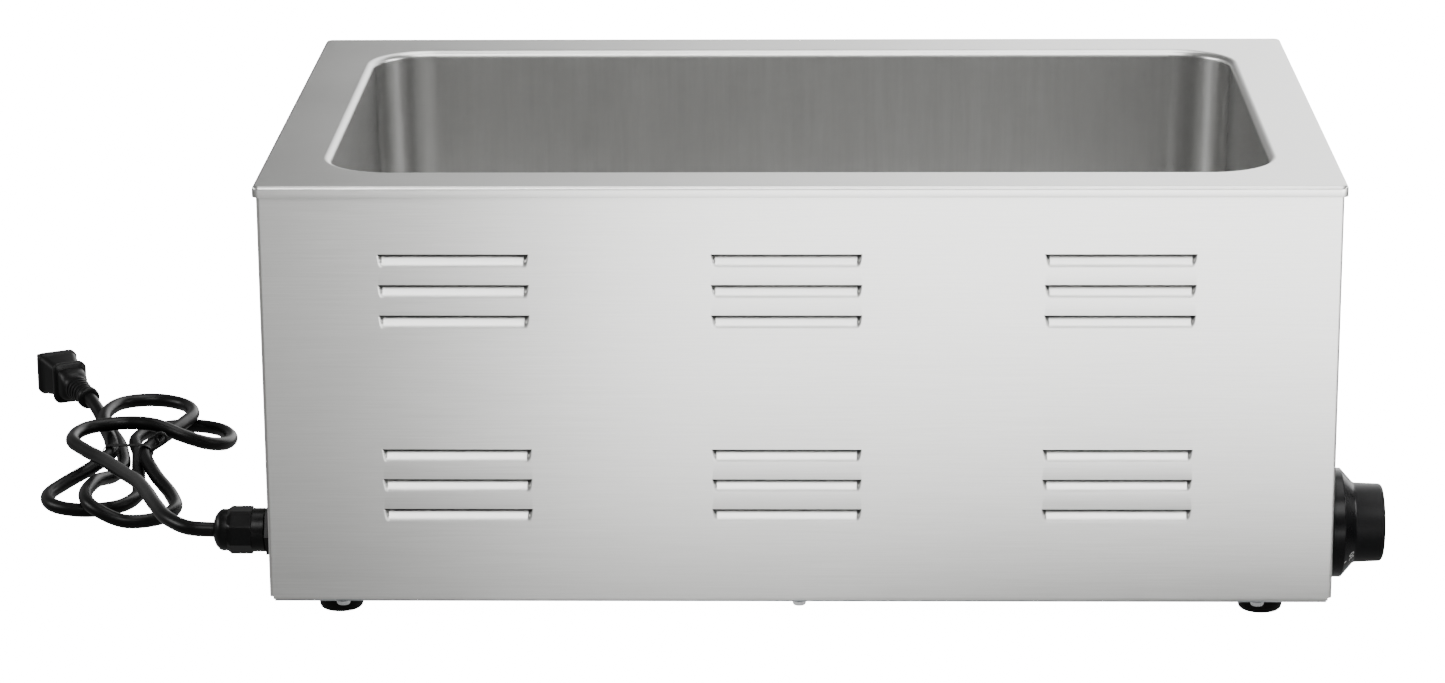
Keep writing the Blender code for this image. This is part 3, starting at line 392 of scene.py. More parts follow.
def finish_piece(
    name, shape, materials, replaced=(), body="housing", sharp=35, wall=0.0
):
    """Makes the shape a piece on its body, smooth but for its sharp edges; a sheet gets a wall."""
    mesh = bpy.data.meshes.new(name)
    shape.to_mesh(mesh)
    shape.free()
    for material in materials:
        mesh.materials.append(material)
    mesh.shade_smooth()
    mesh.set_sharp_from_angle(angle=math.radians(sharp))
    piece = add_object(name, mesh)
    if wall:
        thickness = piece.modifiers.new("wall", "SOLIDIFY")
        thickness.thickness = wall
        thickness.offset = -1
        thickness.use_even_offset = True
        flats = piece.modifiers.new("flats", "WEIGHTED_NORMAL")
        flats.keep_sharp = True
        flats.weight = 100
    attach(piece, body)
    if replaced:
        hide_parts(*replaced)
    return piece


def turned(profile, steps=64):
    """A shape spun once round Z from its (radius, height) profile."""
    shape = bmesh.new()
    line = [shape.verts.new((radius, 0, height)) for radius, height in profile]
    edges = [shape.edges.new(pair) for pair in zip(line, line[1:])]
    bmesh.ops.spin(
        shape, geom=line + edges, cent=(0, 0, 0), axis=(0, 0, 1), dvec=(0, 0, 0),
        angle=2 * math.pi, steps=steps, use_merge=True,
    )
    face_outwards(shape)
    return shape


def cut_at(shape, axis, stations):
    """Draws an edge line across the whole shape at each place along the axis."""
    for station in stations:
        point, normal = [0, 0, 0], [0, 0, 0]
        point[axis], normal[axis] = station, 1
        bmesh.ops.bisect_plane(
            shape, geom=[*shape.verts, *shape.edges, *shape.faces], dist=0.001 * MM,
            plane_co=point, plane_no=normal,
        )


def fold_over(shape, edges, centre, axis, angle, run):
    """Folds the edges of a sheet round a centre and runs them on to a flange."""
    turn = bmesh.ops.spin(
        shape, geom=edges, cent=centre, axis=axis, dvec=(0, 0, 0), angle=angle, steps=5,
        use_merge=False, use_duplicate=False,
    )
    last = edges_of(turn["geom_last"])
    flange = bmesh.ops.extrude_edge_only(shape, edges=last)["geom"]
    moved = verts_of(flange)
    bmesh.ops.translate(shape, verts=moved, vec=run)
    return edges_of(flange)


def smooth_step(value):
    """Eases from 0 to 1, and holds beyond them."""
    value = min(max(value, 0.0), 1.0)
    return value * value * (3 - 2 * value)


# Supply cord, tied in a hank of two figure-of-eight turns beside the left end


def smooth_line(points, spacing):
    """Points at an even spacing along a centripetal Catmull-Rom curve through the given points."""
    points = [Vector(p) for p in points]
    points = [2 * points[0] - points[1], *points, 2 * points[-1] - points[-2]]
    steps = 16
    line = []
    for p0, p1, p2, p3 in zip(points, points[1:], points[2:], points[3:]):
        t1 = math.sqrt((p1 - p0).length)
        t2 = t1 + math.sqrt((p2 - p1).length)
        t3 = t2 + math.sqrt((p3 - p2).length)
        for step in range(steps):
            t = t1 + (t2 - t1) * step / steps
            a1 = p0.lerp(p1, t / t1)
            a2 = p1.lerp(p2, (t - t1) / (t2 - t1))
            a3 = p2.lerp(p3, (t - t2) / (t3 - t2))
            b1 = a1.lerp(a2, t / t2)
            b2 = a2.lerp(a3, (t - t1) / (t3 - t1))
            line.append(b1.lerp(b2, (t - t1) / (t2 - t1)))
    line.append(points[-2])
    walked = [0.0]
    for first, second in zip(line, line[1:]):
        walked.append(walked[-1] + (second - first).length)
    count = max(2, math.ceil(walked[-1] / spacing) + 1)
    even = []
    piece = 0
    for i in range(count):
        goal = walked[-1] * i / (count - 1)
        while piece < len(walked) - 2 and walked[piece + 1] < goal:
            piece += 1
        share = (goal - walked[piece]) / (walked[piece + 1] - walked[piece])
        even.append(line[piece].lerp(line[piece + 1], share))
    return even


def drawn_tube(name, points, radius, material, roundness=6):
    """A round tube along the points, with closed ends."""
    curve = bpy.data.curves.new(name, "CURVE")
    curve.dimensions = "3D"
    curve.bevel_depth = radius
    curve.bevel_resolution = roundness
    curve.use_fill_caps = True
    spline = curve.splines.new("POLY")
    spline.points.add(len(points) - 1)
    for end, point in zip(spline.points, points):
        end.co = (*point, 1)
    spline.use_smooth = True
    curve.materials.append(material)
    tube = add_object(name, curve)
    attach(tube, "housing")
    return tube


cord_line = smooth_line([Vector(p) * MM for p in CORD_ROUTE], 3 * MM)
power_lead = drawn_tube("power_lead", cord_line, CORD_RADIUS, cord_vinyl)
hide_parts("power_cord", "cord_hank", "power_cord_tail")

# Twist tie: a strip wrapped round the waist of the hank, with its ends twisted to a small loop
TIE_Y = 88 * MM
TIE_WIDTH = 4.2 * MM
TIE_SLACK = 0.5 * MM
TIE_TAIL_RADIUS = 0.9 * MM
TIE_CORES = ((-411.8, 12.0), (-404.2, 4.6), (-395.2, 4.6), (-391.4, 12.3))
TIE_TAIL = (
    (-387.3, 86, 14), (-384.6, 84, 16.5), (-381, 81, 19), (-377.8, 79, 21.6), (-376.6, 78, 24.8),
    (-378.6, 78, 27.4), (-381.8, 79, 27.0), (-383.2, 80, 24.0), (-382, 81.5, 20.6), (-384, 84, 17),
)


def wrap_round(cores, clearance, steps=5):
    """The rounded outline of a strip drawn tight round parallel cords, in its own plane."""
    outline = []
    for before, here, after in zip(cores[-1:] + cores[:-1], cores, cores[1:] + cores[:1]):
        turns = []
        for first, second in ((before, here), (here, after)):
            run = (Vector(second) - Vector(first)).normalized()
            turns.append(math.atan2(-run.x, run.y))
        start, end = turns
        while end < start:
            end += 2 * math.pi
        for step in range(steps + 1):
            angle = start + (end - start) * step / steps
            outline.append(Vector(here) + clearance * Vector((math.cos(angle), math.sin(angle))))
    return outline


def make_tie():
    """The strip round the hank's waist, and its twisted ends."""
    shape = bmesh.new()
    cores = [Vector(core) * MM for core in TIE_CORES]
    outline = wrap_round(cores, CORD_RADIUS + TIE_SLACK)
    _, edges = draw_ring(shape, [(p.x, TIE_Y - TIE_WIDTH / 2, p.y) for p in outline])
    strip = bmesh.ops.extrude_edge_only(shape, edges=edges)["geom"]
    moved = verts_of(strip)
    bmesh.ops.translate(shape, verts=moved, vec=(0, TIE_WIDTH, 0))
    bmesh.ops.recalc_face_normals(shape, faces=shape.faces)
    shape.normal_update()
    middle = sum((vert.co for vert in shape.verts), Vector()) / len(shape.verts)
    if sum((face.calc_center_median() - middle).dot(face.normal) for face in shape.faces) > 0:
        bmesh.ops.reverse_faces(shape, faces=shape.faces)
    band = finish_piece("cord_tie", shape, [tie_vinyl], wall=TIE_SLACK)
    tail_line = smooth_line([Vector(p) * MM for p in TIE_TAIL], 0.8 * MM)
    tail = drawn_tube("cord_tie_ends", tail_line, TIE_TAIL_RADIUS, tie_vinyl, 3)
    return band, tail


cord_tie, cord_tie_ends = make_tie()


# Plug


def rounded_outline(half_up, half_wide, corner, steps=6):
    """Points round an upright rectangle with rounded corners, as (up, wide) pairs."""
    corner = min(corner, half_up, half_wide)
    outline = []
    for quarter, (up, wide) in enumerate(((1, 1), (-1, 1), (-1, -1), (1, -1))):
        centre = Vector((up * (half_up - corner), wide * (half_wide - corner)))
        for step in range(steps + 1):
            angle = math.radians(90 * quarter + 90 * step / steps)
            outline.append(centre + corner * Vector((math.cos(angle), math.sin(angle))))
    return outline


def lofted(sections):
    """A closed shape through (distance, half height, half width, corner) sections along X."""
    shape = bmesh.new()
    edges = []
    for distance, half_up, half_wide, corner in sections:
        places = [(distance, p.x, p.y) for p in rounded_outline(half_up, half_wide, corner)]
        if not edges:
            ring, edges = draw_ring(shape, places)
            bmesh.ops.contextual_create(shape, geom=edges)
        else:
            grown = bmesh.ops.extrude_edge_only(shape, edges=edges)["geom"]
            edges = edges_of(grown)
            follows = {}
            for old, place in zip(ring, places):
                for edge in old.link_edges:
                    other = edge.other_vert(old)
                    if other in grown:
                        follows[other] = place
            ring = list(follows)
            for vert, place in follows.items():
                vert.co = place
    bmesh.ops.contextual_create(shape, geom=edges)
    return shape


def plug_sections():
    """The plug from its cord end to its blade end: a collar, five ribs, a flange and a body."""
    rows = [
        (0, 5.4, 5.4, 5.4), (0.6, 6.4, 6.4, 6.4), (1.6, 6.9, 6.9, 6.9), (4.4, 6.9, 6.9, 6.9),
        (5.4, 6.4, 6.4, 6.4), (5.8, 5.4, 5.4, 5.4),
    ]
    for rib in range(5):
        start = 7.4 + rib * 3.9
        size = 6.0 + rib * 0.38
        rows += [
            (start, size - 0.9, size - 0.9, size),
            (start + 0.3, size, size, size),
            (start + 2.2, size + 0.1, size + 0.1, size),
            (start + 2.5, size - 0.8, size - 0.8, size),
        ]
    rows += [
        (28.0, 7.2, 7.2, 7.2), (29.5, 8.2, 7.9, 7.0), (31.5, 9.2, 8.5, 6.0), (35.5, 9.6, 8.8, 5.0),
        (37.4, 9.8, 8.9, 4.6), (38.4, 12.0, 10.0, 4.2), (39.4, 12.7, 10.5, 4.0),
        (42.6, 12.7, 10.5, 4.0), (44.0, 11.9, 10.0, 4.2), (45.4, 9.8, 9.0, 4.5),
        (50.0, 10.3, 9.6, 4.2), (57.0, 11.4, 10.8, 3.8), (63.6, 12.3, 11.7, 3.6),
        (64.2, 12.8, 12.2, 3.6), (64.8, 13.0, 12.5, 3.6), (68.8, 13.0, 12.5, 3.6),
        (69.7, 12.5, 12.0, 3.4), (70.0, 11.8, 11.3, 3.0),
    ]
    return [[value * MM for value in row] for row in rows]


def plug_place():
    """Turns a shape whose X runs from the cord to the blades into its place on the cord's end."""
    along = Vector(PLUG_DIRECTION).normalized()
    up = Vector((0, 0, 1))
    start = Vector(CORD_ROUTE[-1]) * MM + GAP * along
    turn = Matrix((along, up, along.cross(up))).transposed().to_4x4()
    return Matrix.Translation(start) @ turn


def make_blade(height):
    """A flat blade with a narrowed tip and a round hole near it, in the plug's own axes."""
    shape = bmesh.new()
    low, high, tip = BLADE_LOW, BLADE_HIGH, BLADE_TIP
    start, end = PLUG_LENGTH, PLUG_LENGTH + BLADE_LENGTH
    under = height - BLADE_THICKNESS / 2
    outline = [
        (start, low), (end - 2 * tip, low),
        (end - 0.4 * tip, low + 0.7 * tip), (end, low + 1.5 * tip),
        (end, high - 1.5 * tip), (end - 0.4 * tip, high - 0.7 * tip),
        (end - 2 * tip, high), (start, high),
    ]
    _, edges = draw_ring(shape, [(along, under, wide) for along, wide in outline])
    hole = bmesh.ops.create_circle(
        shape, segments=16, radius=BLADE_HOLE_RADIUS,
        matrix=Matrix.Translation((end - BLADE_HOLE_BACK, under, (low + high) / 2))
        @ Matrix.Rotation(math.pi / 2, 4, "X"),
    )["verts"]
    edges += list({edge for vert in hole for edge in vert.link_edges})
    bmesh.ops.triangle_fill(shape, use_beauty=True, edges=edges)
    flat = bmesh.ops.extrude_face_region(shape, geom=shape.faces[:])["geom"]
    moved = verts_of(flat)
    bmesh.ops.translate(shape, verts=moved, vec=(0, BLADE_THICKNESS, 0))
    face_outwards(shape)
    return shape


def make_plug():
    """The moulding with its two blades and its round earth pin."""
    place = plug_place()
    body = lofted(plug_sections())
    face_outwards(body)
    bmesh.ops.transform(body, matrix=place, verts=body.verts)
    pieces = [finish_piece("plug_moulding", body, [plug_vinyl], ("plug_body",))]
    for name, node, height in (
        ("plug_blade_upper", "blade_live", BLADE_SPACING / 2),
        ("plug_blade_lower", "blade_neutral", -BLADE_SPACING / 2),
    ):
        blade = make_blade(height)
        bmesh.ops.transform(blade, matrix=place, verts=blade.verts)
        pieces.append(finish_piece(name, blade, [nickel_plate], (node,)))
    rounding, reach, radius = EARTH_PIN_ROUNDING, EARTH_PIN_LENGTH, EARTH_PIN_RADIUS
    pin = turned(
        [
            (0, 0), (radius, 0), (radius, reach - 2.6 * rounding),
            (0.85 * radius, reach - 1.2 * rounding), (0.5 * radius, reach - 0.3 * rounding),
            (0, reach),
        ],
        24,
    )
    along = Matrix.Translation((PLUG_LENGTH + GAP, 0, EARTH_PIN_OFFSET))
    along = along @ Matrix.Rotation(math.pi / 2, 4, "Y")
    bmesh.ops.transform(pin, matrix=place @ along, verts=pin.verts)
    pieces.append(
        finish_piece("plug_earth_pin", pin, [nickel_plate], ("earth_pin",))
    )
    return pieces


plug_pieces = make_plug()


# Front and rear covers


def louvre_depth(run, end_distance):
    """How far the louvre's lip is pressed in, from its free edge (run 0) to its root (run 1)."""
    root, rise = LOUVRE_ROOT, 1 - run
    share = rise * rise / (2 * root) if rise < root else rise - root / 2
    return LOUVRE_DEPTH * share / (1 - root / 2) * smooth_step(end_distance / LOUVRE_END_RUN)


def press_louvres(shape, face_y):
    """Slits the sheet along the top of each louvre and presses the strip below it inwards."""
    columns = [LOUVRE_OFFSET + column * LOUVRE_COLUMN_PITCH for column in (-1, 0, 1)]
    tops = [top - row * LOUVRE_PITCH for top in LOUVRE_ROW_TOPS for row in range(3)]
    half = LOUVRE_LENGTH / 2
    for middle in columns:
        for side in (-1, 1):
            ends = [half - LOUVRE_END_RUN * step for step in LOUVRE_END_CUTS]
            cut_at(shape, 0, [middle + side * end for end in ends])
    for top in tops:
        cut_at(shape, 2, [top - LOUVRE_HEIGHT * step for step in LOUVRE_CUTS])
    slits = [
        edge
        for edge in shape.edges
        if any(all(abs(v.co.z - top) < NEAR for v in edge.verts) for top in tops)
        and any(all(abs(v.co.x - middle) < half + NEAR for v in edge.verts) for middle in columns)
    ]
    bmesh.ops.split_edges(shape, edges=slits)
    for middle in columns:
        for top in tops:
            strip = {
                vert
                for face in shape.faces
                if abs(face.calc_center_median().x - middle) < half
                and top - LOUVRE_HEIGHT < face.calc_center_median().z < top
                for vert in face.verts
            }
            for vert in strip:
                run = (top - vert.co.z) / LOUVRE_HEIGHT
                offset = vert.co.x - middle
                end_distance = half - abs(offset)
                pressed = louvre_depth(run, end_distance)
                vert.co.y = face_y + pressed
                vert.co.z -= LOUVRE_LIP_DROP * pressed / LOUVRE_DEPTH
                slant = LOUVRE_END_SLANT * run * smooth_step(1 - end_distance / (half / 4))
                vert.co.x -= math.copysign(slant, offset)


def make_cover(name, node, turn):
    """A cover with three columns of louvres, folded round its ends, top and bottom."""
    low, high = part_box(node)
    half = high.x
    face_y = -max(abs(low.y), abs(high.y))
    shape = bmesh.new()
    bmesh.ops.create_grid(shape, x_segments=1, y_segments=1, size=0.5)
    edge_x, edge_low, edge_high = half - FOLD_RADIUS, low.z + FLANGE_FOLD, high.z - FLANGE_FOLD
    for vert in shape.verts:
        vert.co = (
            math.copysign(edge_x, vert.co.x),
            face_y,
            edge_high if vert.co.y > 0 else edge_low,
        )
    press_louvres(shape, face_y)
    notch = FLANGE_NOTCH
    cut_at(shape, 0, (notch - half, half - notch))
    cut_at(shape, 2, (low.z + notch, high.z - notch))
    for side in (-1, 1):
        edges = [
            edge
            for edge in shape.edges
            if all(
                abs(vert.co.x - side * edge_x) < NEAR
                and low.z + notch - NEAR < vert.co.z < high.z - notch + NEAR
                for vert in edge.verts
            )
        ]
        fold_over(
            shape, edges, (side * edge_x, face_y + FOLD_RADIUS, 0), (0, 0, side), math.pi / 2,
            (0, FLANGE - FOLD_RADIUS, 0),
        )
    for side, height in ((-1, edge_high), (1, edge_low)):
        edges = [
            edge
            for edge in shape.edges
            if all(
                abs(vert.co.z - height) < NEAR
                and abs(vert.co.y - face_y) < NEAR
                and abs(vert.co.x) < half - notch + NEAR
                for vert in edge.verts
            )
        ]
        fold_over(
            shape, edges, (0, face_y + FLANGE_FOLD, height), (side, 0, 0), math.pi / 2,
            (0, FLANGE - FLANGE_FOLD, 0),
        )
    face_outwards(shape, (0, -1, 0))
    bmesh.ops.rotate(
        shape, verts=shape.verts, cent=(0, 0, 0), matrix=Matrix.Rotation(turn, 3, "Z")
    )
    return finish_piece(
        name, shape, [panel_steel], (node,), sharp=30, wall=SHEET
    )


make_cover("front_cover", "front_panel", 0.0)
make_cover("rear_cover", "rear_panel", math.pi)


# Deck and well, drawn from one sheet


def in_opening(place):
    """Whether a place on the sheet lies within the well's opening."""
    half_length, half_width = OPENING_LENGTH / 2, OPENING_WIDTH / 2
    return abs(place.x) <= half_length + NEAR and abs(place.y) <= half_width + NEAR


def make_deck():
    """The well drawn down from the deck, with a rolled opening and a folded outer lip."""
    low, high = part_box("water_well")
    top = high.z
    floor = top - WELL_DEPTH
    shape = bmesh.new()
    bmesh.ops.create_cube(
        shape, size=1,
        matrix=Matrix.Translation((0, 0, top - WELL_DEPTH / 2))
        @ Matrix.Diagonal((OPENING_LENGTH, OPENING_WIDTH, WELL_DEPTH, 1)),
    )
    upright = [e for e in shape.edges if abs(e.verts[0].co.z - e.verts[1].co.z) > SHEET]
    bmesh.ops.bevel(
        shape, geom=upright, offset=OPENING_CORNER, offset_type="OFFSET", affect="EDGES",
        segments=14, profile=0.5, material=-1,
    )
    lid = [face for face in shape.faces if face.calc_center_median().z > top - SHEET]
    bmesh.ops.delete(shape, geom=lid, context="FACES_ONLY")
    base_ring = [e for e in shape.edges if all(abs(v.co.z - floor) < NEAR for v in e.verts)]
    bmesh.ops.bevel(
        shape, geom=base_ring, offset=WELL_FLOOR_RADIUS, offset_type="OFFSET", affect="EDGES",
        segments=6, profile=0.5, material=-1,
    )
    for vert in shape.verts:
        share = (top - vert.co.z) / WELL_DEPTH * WELL_TAPER
        vert.co.x -= math.copysign(share, vert.co.x)
        vert.co.y -= math.copysign(share, vert.co.y)
    opening = [e for e in shape.edges if e.is_boundary]
    rim = bmesh.ops.extrude_edge_only(shape, edges=opening)["geom"]
    for vert in verts_of(rim):
        way = Vector((math.copysign(1, vert.co.x), math.copysign(1, vert.co.y), 0))
        inner = Vector((
            way.x * (OPENING_LENGTH / 2 - OPENING_CORNER),
            way.y * (OPENING_WIDTH / 2 - OPENING_CORNER),
            top,
        ))
        outer = Vector((way.x * (high.x - DECK_CORNER), way.y * (high.y - DECK_CORNER), top))
        vert.co = outer + (vert.co - inner) / OPENING_CORNER * DECK_CORNER
    outside = edges_of(rim)
    drop = bmesh.ops.extrude_edge_only(shape, edges=outside)["geom"]
    moved = verts_of(drop)
    bmesh.ops.translate(shape, verts=moved, vec=(0, 0, -LIP_DROP))
    shape.edges.ensure_lookup_table()
    flat = [
        e for e in shape.edges
        if all(abs(v.co.z - top) < NEAR for v in e.verts) and len(e.link_faces) == 2
        and e.calc_face_angle(0) > math.radians(60)
    ]
    inside = [e for e in flat if all(in_opening(v.co) for v in e.verts)]
    outer_fold = [e for e in flat if e not in inside]
    for ring, radius, steps in ((inside, OPENING_ROLL, 5), (outer_fold, LIP_FOLD, 4)):
        bmesh.ops.bevel(
            shape, geom=ring, offset=radius, offset_type="OFFSET", affect="EDGES",
            segments=steps, profile=0.5, material=-1,
        )
    for face in shape.faces:
        middle = face.calc_center_median()
        if middle.z < top - OPENING_ROLL * ROLL_ON_DECK and in_opening(middle):
            face.material_index = 1
    face_outwards(shape, (0, 0, 1))
    return finish_piece(
        "deck_and_well", shape, [deck_steel, well_steel], ("water_well",),
        sharp=40, wall=SHEET,
    )


make_deck()


# Control knob

KNOB_FOOT_X = 284.8 * MM
KNOB_FACE_X = 313.7 * MM
KNOB_AXIS_Y = -146 * MM
KNOB_AXIS_Z = 47 * MM
KNOB_SKIRT_RADIUS = 29.5 * MM
KNOB_GRIP_RADIUS = 21.5 * MM
KNOB_TOP_RADIUS = 21.0 * MM
KNOB_BAND = 6.4 * MM
KNOB_SKIRT = 13.2 * MM
KNOB_RIM = 2.2 * MM
KNOB_CAVITY = 4 * MM
KNOB_DISH = 0.4 * MM
DIAL_NUMBERS = ("30", "40", "50", "60", "70", "80", "90", "100", "110")
DIAL_START = 240
DIAL_STEP = 30
DIGIT_HEIGHT = 4.2 * MM
DIGIT_SHARE = 0.7  # height of a digit as a share of its type size
DIGIT_FOOT = 1.6 * MM  # from the grip's edge of the skirt to the foot of a digit
STROKE_WIDTH = 0.7 * MM
STROKE_LENGTH = 1.9 * MM
STROKE_FOOT = 0.80  # where a stroke starts, as a share of the way across the skirt
INK_HEIGHT = 0.06 * MM
LONGEST_EDGE = 1.2 * MM  # longer ones are halved, so that the print follows the skirt


def rounded_corner(centre, radius, start, end, steps=5):
    """Profile points round a corner, from one angle to another in degrees."""
    angles = [math.radians(start + (end - start) * step / steps) for step in range(steps + 1)]
    return [(centre[0] + radius * math.cos(a), centre[1] + radius * math.sin(a)) for a in angles]


def onto_knob():
    """Places a shape turned about Z, with its foot at 0, on the knob's axis."""
    return Matrix.Translation((KNOB_FOOT_X, KNOB_AXIS_Y, KNOB_AXIS_Z)) @ Matrix.Rotation(
        math.pi / 2, 4, "Y"
    )


def make_knob():
    """A round grip with a rounded rim and a shallow dish in its face, on a conical skirt."""
    height = KNOB_FACE_X - KNOB_FOOT_X
    edge, soft = 0.8 * MM, 1.2 * MM
    profile = [(0, KNOB_CAVITY), (KNOB_SKIRT_RADIUS - 4 * MM, KNOB_CAVITY)]
    profile += [(KNOB_SKIRT_RADIUS - 3.6 * MM, 0.3 * MM), (KNOB_SKIRT_RADIUS - 3.2 * MM, 0)]
    profile += rounded_corner((KNOB_SKIRT_RADIUS - 0.5 * MM, 0.5 * MM), 0.5 * MM, -90, 0, 3)
    profile += rounded_corner((KNOB_SKIRT_RADIUS - edge, KNOB_BAND - edge * 0.6), edge, 0, 50, 4)
    profile += [
        (KNOB_GRIP_RADIUS + soft, KNOB_SKIRT - soft * 0.85),
        (KNOB_GRIP_RADIUS + 0.3 * soft, KNOB_SKIRT - 0.1 * soft),
        (KNOB_GRIP_RADIUS, KNOB_SKIRT + 0.7 * soft),
    ]
    profile += rounded_corner((KNOB_TOP_RADIUS - KNOB_RIM, height - KNOB_RIM), KNOB_RIM, 0, 90, 7)
    dish = height - KNOB_DISH
    profile += [(KNOB_TOP_RADIUS - 4 * MM, height), (KNOB_TOP_RADIUS - 4.8 * MM, dish), (0, dish)]
    shape = turned(profile, 96)
    for face in shape.faces:
        middle = face.calc_center_median()
        if middle.z < KNOB_SKIRT - 0.2 * soft:
            face.material_index = 1
    bmesh.ops.transform(shape, matrix=onto_knob(), verts=shape.verts)
    return finish_piece(
        "knob_moulding", shape, [knob_grip, knob_skirt], ("control_knob",), "knob"
    )


def skirt_point(around, outwards, proud):
    """A place on the skirt's cone: degrees clockwise from the top, and a share of the way out."""
    inner = Vector((KNOB_GRIP_RADIUS, KNOB_SKIRT))
    outer = Vector((KNOB_SKIRT_RADIUS, KNOB_BAND))
    slope = (outer - inner).normalized()
    radius, height = inner.lerp(outer, outwards) + proud * Vector((-slope.y, slope.x))
    turn = math.radians(around)
    return Vector((
        KNOB_FOOT_X + height,
        KNOB_AXIS_Y + radius * math.sin(turn),
        KNOB_AXIS_Z + radius * math.cos(turn),
    ))


def make_dial():
    """Plain numbers and a short stroke over each, printed on the skirt."""
    shape = bmesh.new()
    cone = math.hypot(KNOB_SKIRT_RADIUS - KNOB_GRIP_RADIUS, KNOB_SKIRT - KNOB_BAND)
    middle_radius = (KNOB_SKIRT_RADIUS + KNOB_GRIP_RADIUS) / 2
    for place, number in enumerate(DIAL_NUMBERS):
        around = DIAL_START - DIAL_STEP * place
        words = bpy.data.curves.new("dial_number", "FONT")
        words.body = number
        words.size = DIGIT_HEIGHT / DIGIT_SHARE
        words.align_x = "CENTER"
        words.resolution_u = 3
        holder = add_object("dial_number", words)
        bpy.context.view_layer.update()
        evaluated = holder.evaluated_get(bpy.context.evaluated_depsgraph_get())
        flat = bpy.data.meshes.new_from_object(evaluated)
        bpy.data.objects.remove(holder)
        bpy.data.curves.remove(words)
        digits = bmesh.new()
        digits.from_mesh(flat)
        bpy.data.meshes.remove(flat)
        stroke = bmesh.ops.create_grid(digits, x_segments=1, y_segments=3, size=0.5)["verts"]
        for vert in stroke:
            up = cone * STROKE_FOOT + (vert.co.y + 0.5) * STROKE_LENGTH
            vert.co = (vert.co.x * STROKE_WIDTH, up, 0)
        bmesh.ops.subdivide_edges(
            digits, edges=[e for e in digits.edges if e.calc_length() > LONGEST_EDGE], cuts=1
        )
        for vert in digits.verts:
            across = math.degrees(vert.co.x / middle_radius)
            is_digit = vert.co.y < cone * (STROKE_FOOT - 0.1)
            outwards = (vert.co.y + (DIGIT_FOOT if is_digit else 0)) / cone
            vert.co = skirt_point(around + across, outwards, INK_HEIGHT)
        done = bpy.data.meshes.new("digits")
        digits.to_mesh(done)
        digits.free()
        shape.from_mesh(done)
        bpy.data.meshes.remove(done)
    bmesh.ops.remove_doubles(shape, verts=shape.verts, dist=0.002 * MM)
    shape.normal_update()
    axis = Vector((0, KNOB_AXIS_Y, KNOB_AXIS_Z))
    inwards = []
    for face in shape.faces:
        out = face.calc_center_median() - axis
        out.x = 0
        if face.normal.dot(out.normalized() + Vector((1, 0, 0))) < 0:
            inwards.append(face)
    bmesh.ops.reverse_faces(shape, faces=inwards)
    return finish_piece("knob_numbers", shape, [dial_ink], (), "knob")


make_knob()
make_dial()


# Gland

GLAND_NOSE_X = -317 * MM
GLAND_Y = -149 * MM
GLAND_Z = 43 * MM
GLAND_FLATS = 12.1 * MM
GLAND_FLATS_FROM = 9.0 * MM
GLAND_FLATS_TO = 21.1 * MM


def make_gland_nut():
    """Dome nut: a tapered nose, a main part with eight flats, and a round neck."""
    profile = [
        (4.4, 0.6), (4.7, 0.1), (5.8, 0), (8.6, 1.2), (9.8, 2.2), (10.8, 3.2), (11.4, 4.6),
        (11.4, 7.7), (11.7, 7.9), (13.2, 9.5), (13.2, 10.6), (13.2, 20.4), (12.9, 21.0),
        (12.0, 21.2), (11.9, 21.6), (11.9, 27.6), (11.5, 28.2), (10.0, 28.2), (8.0, 27.2),
        (4.4, 26.0), (4.4, 0.6),
    ]
    shape = turned([(radius * MM, height * MM) for radius, height in profile], 96)
    for vert in shape.verts:
        if GLAND_FLATS_FROM < vert.co.z < GLAND_FLATS_TO:
            around = math.atan2(vert.co.y, vert.co.x)
            eighth = math.pi / 4
            off_flat = (around + eighth / 2) % eighth - eighth / 2
            reach = min(1.0, GLAND_FLATS / math.cos(off_flat) / math.hypot(vert.co.x, vert.co.y))
            vert.co.x *= reach
            vert.co.y *= reach
    place = Matrix.Translation((GLAND_NOSE_X, GLAND_Y, GLAND_Z))
    place = place @ Matrix.Rotation(math.pi / 2, 4, "Y")
    bmesh.ops.transform(shape, matrix=place, verts=shape.verts)
    return finish_piece(
        "gland_nut", shape, [gland_nylon], ("gland_dome_nut",), sharp=28
    )


make_gland_nut()


# Feet and screws


def make_foot(number):
    """A tapered rubber foot, hollow under its bolt's head, from its (radius, height) profile."""
    low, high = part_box(f"foot_{number}")
    top = (high.z - low.z) / MM
    profile = [
        (2.6, top), (12.4, top), (12.8, top - 0.2), (13.0, top - 0.8), (11.8, 1.9), (11.4, 0.9),
        (10.7, 0.25), (9.9, 0), (5.5, 0), (5.0, 0.2), (4.8, 0.7), (4.8, 5.5), (2.6, 5.5),
        (2.6, top),
    ]
    shape = turned([(radius * MM, height * MM) for radius, height in profile], 64)
    centre = (low + high) / 2
    bmesh.ops.translate(shape, verts=shape.verts, vec=(centre.x, centre.y, low.z))
    return finish_piece(f"foot_pad_{number}", shape, [foot_rubber], (f"foot_{number}",))


HEAD_RADIUS = 3.7 * MM
HEAD_HEIGHT = 2.6 * MM
HEAD_FLAT = 0.62  # flat middle of the head, as a share of its radius
SHANK_RADIUS = 2.0 * MM
RECESS_ARM = 2.1 * MM
RECESS_HALF = 0.5 * MM
RECESS_DEPTH = 1.5 * MM


